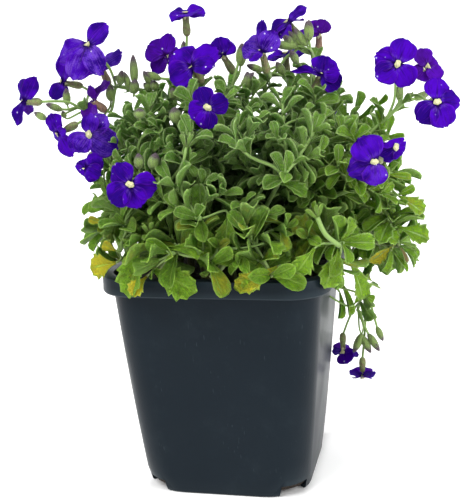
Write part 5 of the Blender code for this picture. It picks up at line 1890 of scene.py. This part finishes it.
class AUBRIETA_OT_foliage(bpy.types.Operator):
    """Leafy shoots: stems, side shoots and toothed leaves"""

    bl_idname = "aubrieta.foliage"
    bl_label = "Foliage"

    def execute(self, context):
        settings = context.scene.aubrieta_foliage
        shoots, sides, leaves, edge, twigs, small, inner = plan_plant(settings.twigs, settings.twig_leaves)
        plain, toothed = leaf_forms()
        materials = [leaf_finish(settings), stem_finish(settings)]
        for index, shoot in enumerate(shoots):
            bm = new_bmesh()
            draw = random.Random(f"{SEED} looks {shoot.name}")
            sweep(bm, smooth_path(shoot.stem, 4), stretched(stem_radii(shoot), 4), 8, material=1)
            for paths, steps, start, end in ((shoot.stalks, 4, STALK_RADIUS, 0.9 * STALK_RADIUS),
                                             (sides[shoot.name], 3, SIDE_RADIUS * 1.1, SIDE_RADIUS * 0.8),
                                             (twigs[shoot.name], 2, TWIG_RADIUS * 1.3, TWIG_RADIUS * 0.8)):
                for path in paths:
                    add_stem(bm, path, steps, start, end)
            for number, blade in enumerate(leaves[shoot.name]):
                grown = blade.stations == TOOTHED_STATIONS
                low_share = MIDDLE_LEAF_SHARE if blade.root.z > LOW_SHOOT else 1.0
                share = CROWN_LEAF_SHARE if blade.root.z > CROWN_HEIGHT else low_share
                blade = blade._replace(length=blade.length * share, width=blade.width * share)
                form = (toothed if grown else plain)[(number + index) % FORM_KINDS]
                lay_leaf(bm, form, blade, draw, 0.85 if grown else 0.35, 0.15)
            for number, (blade, order) in enumerate(small[shoot.name]):
                form = (toothed if order > 5 else plain)[(number + index) % FORM_KINDS]
                lay_leaf(bm, form, blade, draw, 0.1 * order, 0.2)
            # Inner leaves carry strong painted shade
            for blade in inner[shoot.name]:
                lay_blade(bm, plain[draw.randrange(FORM_KINDS)], blade, tone=draw.random(), age=1.0, depth=0.9)
            for blade, fade, stalk in edge[shoot.name]:
                form = (plain if blade.width < 7 * MM else toothed)[draw.randrange(FORM_KINDS)]
                lay_blade(bm, form, blade, tone=0.8, age=0.3 + 0.5 * draw.random(), yellow=fade, depth=0.0)
                add_stem(bm, stalk, 2, TWIG_RADIUS, TWIG_RADIUS)
            for points, radius in BARE_STEMS:
                path = smooth_path([millimetres(*point) for point in points], 5)
                if nearest_path_point(shoots, sides, path[-1], POT_HEIGHT)[0] == shoot.name:
                    sweep(bm, path, [radius * MM] * len(path), 8, material=1)
                    if path[0].z > ROSETTE_HEIGHT:
                        add_rosette(bm, plain, path[0], (path[0] - path[1]).normalized(), draw)
            make_piece(f"foliage_{shoot.name}", bm, materials, [shoot.name])
        for form in plain + toothed:
            bpy.data.meshes.remove(form)
        return {"FINISHED"}


def stretched(radii, steps):
    """A radius at each point of a path that smooth_path has made finer."""
    out = []
    for start, end in zip(radii, radii[1:]):
        out += [start + (end - start) * step / steps for step in range(steps)]
    return out + [radii[-1]]


def fading(blade, draw):
    """How yellow a leaf is: only some of the lowest leaves fade."""
    chance = draw.random()
    return 0.45 * draw.random() if blade.root.z < LOW_SHOOT and chance > 0.8 else 0.0


def shaped_petals(place, looking, table):
    """Blades for petals that are given by their tips."""
    blades = []
    for x, y, z, width, turn in table:
        reach = millimetres(x, y, z) - place
        ahead = reach.normalized()
        face = FRONT_VIEW * math.cos(math.radians(turn)) + looking * math.sin(math.radians(turn))
        face = (face - ahead * face.dot(ahead)).normalized()
        blades.append(Blade(place - looking * SHAPED_SUNK * MM, ahead, face, reach.length * SHAPED_REACH,
                            width * SHAPED_BREADTH * MM, SHAPED_BEND, (), 0))
    return blades


def flower_petals(flower):
    """The petals of a flower as the finished piece shows them."""
    looking = flower_facing(flower)
    if flower.name in SHAPED_PETALS:
        place = millimetres(*flower.place)
        if flower.name in HIDDEN_EYES:
            place += FRONT_VIEW * EYE_COVER * MM - looking * EYE_SINK * MM
        return shaped_petals(place, looking, SHAPED_PETALS[flower.name])
    return [blade._replace(width=blade.width * PETAL_BREADTH, length=blade.length * PETAL_REACH,
                           root=blade.root + looking * PETAL_RAISED * MM) for blade in petal_blades(flower)]


def closing_flower():
    """The place and the looking direction of the flower that has begun to close."""
    eye = millimetres(*CLOSING_EYE)
    return eye, (eye - millimetres(*CLOSING_FOOT)).normalized()


class AUBRIETA_OT_petals(bpy.types.Operator):
    """Broad, slightly ragged petals of each flower"""

    bl_idname = "aubrieta.petals"
    bl_label = "Petals"

    def execute(self, context):
        settings = context.scene.aubrieta_flowers
        material = petal_finish(settings)
        draw = random.Random(f"{SEED} petals")
        forms = [blade_form(f"petal_{number}", PETAL_OUTLINE, 10, draw.uniform(-0.16, 0.24), draw.uniform(0.03, 0.08),
                            draw.uniform(0, math.tau), 0.022, ragged=draw.uniform(0.012, 0.03), domed=0.07)
                 for number in range(2 * FORM_KINDS)]
        flowers = [(flower.name, flower_facing(flower), flower_petals(flower), [f"flower_{flower.name}"])
                   for raceme in RACEMES for flower in raceme.flowers]
        eye, looking = closing_flower()
        flowers.append(("west_closing", looking, shaped_petals(eye, looking, CLOSING_PETALS), []))
        for name, facing, blades, replaced in flowers:
            bm = new_bmesh()
            wilted = WILTED.get(name, 0.0)
            for number, blade in enumerate(blades):
                lift = facing * PETAL_LAP * (number % 2)
                # The layer yellow carries how strongly each petal shows a painted highlight
                lay_blade(bm, forms[draw.randrange(len(forms))], blade._replace(root=blade.root + lift),
                          tone=draw.random(), age=wilted, yellow=PAINTED_HIGHLIGHT_FLOWERS.get(name, 0.0) * draw.random())
            make_piece(f"petals_{name}", bm, [material], replaced)
        for form in forms:
            bpy.data.meshes.remove(form)
        return {"FINISHED"}


class AUBRIETA_OT_throats(bpy.types.Operator):
    """Small pale throat with anthers at the centre of each flower"""

    bl_idname = "aubrieta.throats"
    bl_label = "Throats"

    def execute(self, context):
        settings = context.scene.aubrieta_flowers
        material = throat_finish(settings)
        for number, raceme in enumerate(RACEMES):
            bm = new_bmesh()
            tone = bm.verts.layers.float["tone"]
            for flower in raceme.flowers:
                draw = random.Random(f"{SEED} throat {flower.name}")
                facing = flower_facing(flower)
                centre = millimetres(*flower.place)
                size = draw.uniform(0.78, 1.0) * MM
                path = [centre + facing * height * MM for height, _, _ in THROAT_PROFILE]
                verts = sweep(bm, path, [radius * size for _, radius, _ in THROAT_PROFILE], THROAT_SIDES)
                lean = draw.uniform(0, math.tau)
                for order, vert in enumerate(verts):
                    step = order // THROAT_SIDES
                    vert[tone] = THROAT_PROFILE[step][2]
                    offset = vert.co - path[step]
                    angle = math.atan2(offset.dot(petal_heading(flower, 90)), offset.dot(petal_heading(flower, 0)))
                    vert.co += offset * (0.20 * math.sin(2 * angle + lean) + 0.10 * math.sin(5 * angle + 2 * lean))
                for anther in range(ANTHERS):
                    heading = petal_heading(flower, 120 * anther + 60 * draw.random())
                    spot = centre + heading * draw.uniform(0.30, 0.70) * MM + facing * draw.uniform(-0.1, 0.35) * MM
                    grain = bmesh.ops.create_icosphere(bm, subdivisions=1, radius=ANTHER_RADIUS)["verts"]
                    bmesh.ops.scale(bm, vec=(1, 1, 1.5), verts=grain)
                    bmesh.ops.translate(bm, vec=spot, verts=grain)
                    for vert in grain:
                        vert[tone] = 0.30 + 0.15 * anther
            make_piece(f"throats_{number + 1:02d}", bm, [material])
        return {"FINISHED"}


def turned(bm, foot, axis, profile, size, rib):
    """A ribbed body turned round an axis, whose layer along says how far up each vertex lies."""
    along = bm.verts.layers.float["along"]
    path = [foot + axis * share for share, _ in profile]
    body = sweep(bm, path, [size * width for _, width in profile], 12, rib=rib)
    for vert in body:
        vert[along] = (vert.co - foot).dot(axis) / axis.length_squared
    return body


def add_calyx(bm, foot, mouth, mood, sepal):
    """A ribbed calyx with four flared sepals and a pale tube, from its foot to the flower's mouth."""
    tone = bm.verts.layers.float["tone"]
    axis = mouth - foot
    for vert in turned(bm, foot, axis, CALYX_PROFILE, MM, 0.12):
        vert[tone] = mood
    path = [foot + axis * share for share, _ in TUBE_PROFILE]
    sweep(bm, path, [width * MM for _, width in TUBE_PROFILE], 8, material=1)
    ahead = axis.normalized()
    for number in range(SEPALS):
        out = Matrix.Rotation(math.radians(90 * number + SEPAL_TURN), 3, ahead) @ level_across(ahead)
        root = foot + axis * SEPAL_START + out * SEPAL_OUT * MM
        blade = Blade(root, (ahead + out * SEPAL_FLARE).normalized(), -out, SEPAL_LENGTH, SEPAL_WIDTH, SEPAL_BEND,
                      (), 0)
        lay_blade(bm, sepal, blade, tone=mood)


class AUBRIETA_OT_calyces(bpy.types.Operator):
    """Ribbed calyx with four sepals and a pale tube under each flower"""

    bl_idname = "aubrieta.calyces"
    bl_label = "Calyces"

    def execute(self, context):
        foliage = context.scene.aubrieta_foliage
        settings = context.scene.aubrieta_flowers
        shoots = plan_plant(foliage.twigs, foliage.twig_leaves)[0]
        materials = [calyx_finish(settings), tube_finish(settings), stem_finish(foliage)]
        sepal = blade_form("sepal", SEPAL_OUTLINE, 2, 0.5, 0.0, 0.0, 0.05)
        for shoot in shoots:
            if not shoot.calyces:
                continue
            bm = new_bmesh()
            draw = random.Random(f"{SEED} calyx {shoot.name}")
            names = [flower.name for flower in shoot.flowers]
            for name, (foot, mouth) in zip(names, shoot.calyces):
                add_calyx(bm, foot, mouth, PINK_CALYCES.get(name, 0.5 * draw.random()), sepal)
            if CLOSING_BESIDE in names:
                foot, eye = millimetres(*CLOSING_FOOT), millimetres(*CLOSING_EYE)
                add_calyx(bm, foot, foot.lerp(eye, 0.9), 1.0, sepal)
                start = shoot.stem[-1]
                path = bezier(start, start.lerp(foot, 0.3), foot.lerp(eye, -0.6), foot, 5)
                add_stem(bm, path, 3, STALK_RADIUS, STALK_RADIUS, material=2)
            make_piece(f"calyces_{shoot.name}", bm, materials)
        bpy.data.meshes.remove(sepal)
        return {"FINISHED"}


def add_bud(bm, foot, tip, radius):
    """A closed bud, ribbed by its sepals."""
    turned(bm, foot, tip - foot, BUD_PROFILE, radius, 0.09)


class AUBRIETA_OT_buds(bpy.types.Operator):
    """Closed buds with dark tips, on their stalks and at the tips of leafy shoots"""

    bl_idname = "aubrieta.buds"
    bl_label = "Buds"

    def execute(self, context):
        foliage = context.scene.aubrieta_foliage
        settings = context.scene.aubrieta_flowers
        shoots, sides = plan_plant(foliage.twigs, foliage.twig_leaves)[:2]
        materials = [bud_finish(settings), stem_finish(foliage)]
        for shoot in shoots:
            if not shoot.buds:
                continue
            bm = new_bmesh()
            for foot, tip in shoot.buds:
                add_bud(bm, foot, tip, STALK_BUD_RADIUS)
            make_piece(f"buds_{shoot.name}", bm, materials)
        bm = new_bmesh()
        for foot, tip, radius in TIP_BUDS:
            foot, tip = millimetres(*foot), millimetres(*tip)
            add_bud(bm, foot, tip, radius * MM)
            start = nearest_path_point(shoots, sides, foot, foot.z - 2 * MM)[1]
            path = bezier(start, start.lerp(foot, 0.4), foot.lerp(tip, -0.5), foot, 5)
            add_stem(bm, path, 2, 0.5 * MM, 0.4 * MM)
        make_piece("buds_tips", bm, materials)
        return {"FINISHED"}


def add_light(name, kind, place, target, power):
    """A light that looks at a target."""
    lamp = bpy.data.lights.new(name, kind)
    lamp.energy = power
    thing = add_object(name, lamp)
    thing.location = place
    thing.rotation_euler = (Vector(target) - Vector(place)).to_track_quat("-Z", "Y").to_euler()
    return lamp


class AUBRIETA_OT_stage(bpy.types.Operator):
    """Pale floor, soft lights and the camera"""

    bl_idname = "aubrieta.stage"
    bl_label = "Stage"

    def execute(self, context):
        settings = context.scene.aubrieta_stage
        self.add_floor(settings)
        self.add_camera(context, settings)
        key = add_light("key_light", "SUN", *KEY_PLACES, settings.key_strength)
        key.angle = KEY_SPREAD
        fill = add_light("fill_light", "AREA", *FILL_PLACES, settings.fill_power)
        fill.size = FILL_SIZE
        world = context.scene.world or bpy.data.worlds.new("surroundings")
        context.scene.world = world
        world.use_nodes = True
        background = world.node_tree.nodes["Background"]
        background.inputs["Color"].default_value = (1, 1, 1, 1)
        background.inputs["Strength"].default_value = settings.world_strength
        context.scene.view_settings.view_transform = "Standard"
        return {"FINISHED"}

    def add_floor(self, settings):
        """A floor that curves up into a backdrop."""
        bm = bmesh.new()
        bmesh.ops.create_grid(bm, x_segments=1, y_segments=1, size=FLOOR_HALF)
        back = [edge for edge in bm.edges if all(vert.co.y > 0 for vert in edge.verts)]
        risen, _ = grow_ring(bm, back)
        bmesh.ops.translate(bm, vec=(0, 0, FLOOR_HALF), verts=risen)
        bmesh.ops.bevel(bm, geom=back, offset=FLOOR_CURVE, offset_type="OFFSET", segments=24, profile=0.5,
                        affect="EDGES", material=-1)
        for face in bm.faces:
            face.smooth = True
        floor = add_mesh("floor", bm)
        floor.data.materials.append(floor_finish(settings))

    def add_camera(self, context, settings):
        """The camera at the photograph's viewing angle."""
        level = math.cos(settings.elevation)
        back = Vector((math.sin(settings.azimuth) * level, -math.cos(settings.azimuth) * level,
                       math.sin(settings.elevation)))
        right = (-back).cross(Vector((0, 0, 1))).normalized()
        up = right.cross(-back)
        turn, lift = math.cos(settings.roll), math.sin(settings.roll)
        pose = Matrix((right * turn + up * lift, up * turn - right * lift, back)).transposed().to_4x4()
        pose.translation = Vector((0, 0, settings.target_height)) + back * settings.distance
        data = bpy.data.cameras.new("camera")
        data.sensor_fit = "AUTO"
        data.sensor_width = 36
        data.lens = settings.lens
        data.shift_x = settings.shift
        data.clip_start = 0.01
        camera = add_object("camera", data)
        camera.matrix_world = pose
        context.scene.camera = camera


class AUBRIETA_PT_panel(bpy.types.Panel):
    """Lists the pieces of the plant and their settings"""

    bl_idname = "AUBRIETA_PT_panel"
    bl_label = "Potted aubrieta"
    bl_space_type = "VIEW_3D"
    bl_region_type = "UI"
    bl_category = "Aubrieta"

    def draw(self, context):
        for operator in OPERATORS:
            self.layout.operator(operator.bl_idname)
        for name, kind in SETTINGS.items():
            box = self.layout.box()
            for key in kind.__annotations__:
                box.prop(getattr(context.scene, name), key)


SETTINGS = {
    "aubrieta_pot": PotSettings,
    "aubrieta_soil": SoilSettings,
    "aubrieta_foliage": FoliageSettings,
    "aubrieta_flowers": FlowerSettings,
    "aubrieta_stage": StageSettings,
}
OPERATORS = (AUBRIETA_OT_stage, AUBRIETA_OT_pot, AUBRIETA_OT_soil, AUBRIETA_OT_foliage, AUBRIETA_OT_petals,
             AUBRIETA_OT_throats, AUBRIETA_OT_calyces, AUBRIETA_OT_buds)


def register():
    """Register the classes and the settings."""
    for kind in (*SETTINGS.values(), *OPERATORS, AUBRIETA_PT_panel):
        bpy.utils.register_class(kind)
    for name, kind in SETTINGS.items():
        setattr(bpy.types.Scene, name, PointerProperty(type=kind))


def unregister():
    """Take the settings and the classes away again."""
    for name in SETTINGS:
        delattr(bpy.types.Scene, name)
    for kind in reversed((*SETTINGS.values(), *OPERATORS, AUBRIETA_PT_panel)):
        bpy.utils.unregister_class(kind)


def main():
    """Make every piece in order."""
    register()
    bpy.ops.aubrieta.stage()
    bpy.ops.aubrieta.pot()
    bpy.ops.aubrieta.soil()
    bpy.ops.aubrieta.foliage()
    bpy.ops.aubrieta.petals()
    bpy.ops.aubrieta.throats()
    bpy.ops.aubrieta.calyces()
    bpy.ops.aubrieta.buds()


if __name__ == "__main__":
    main()
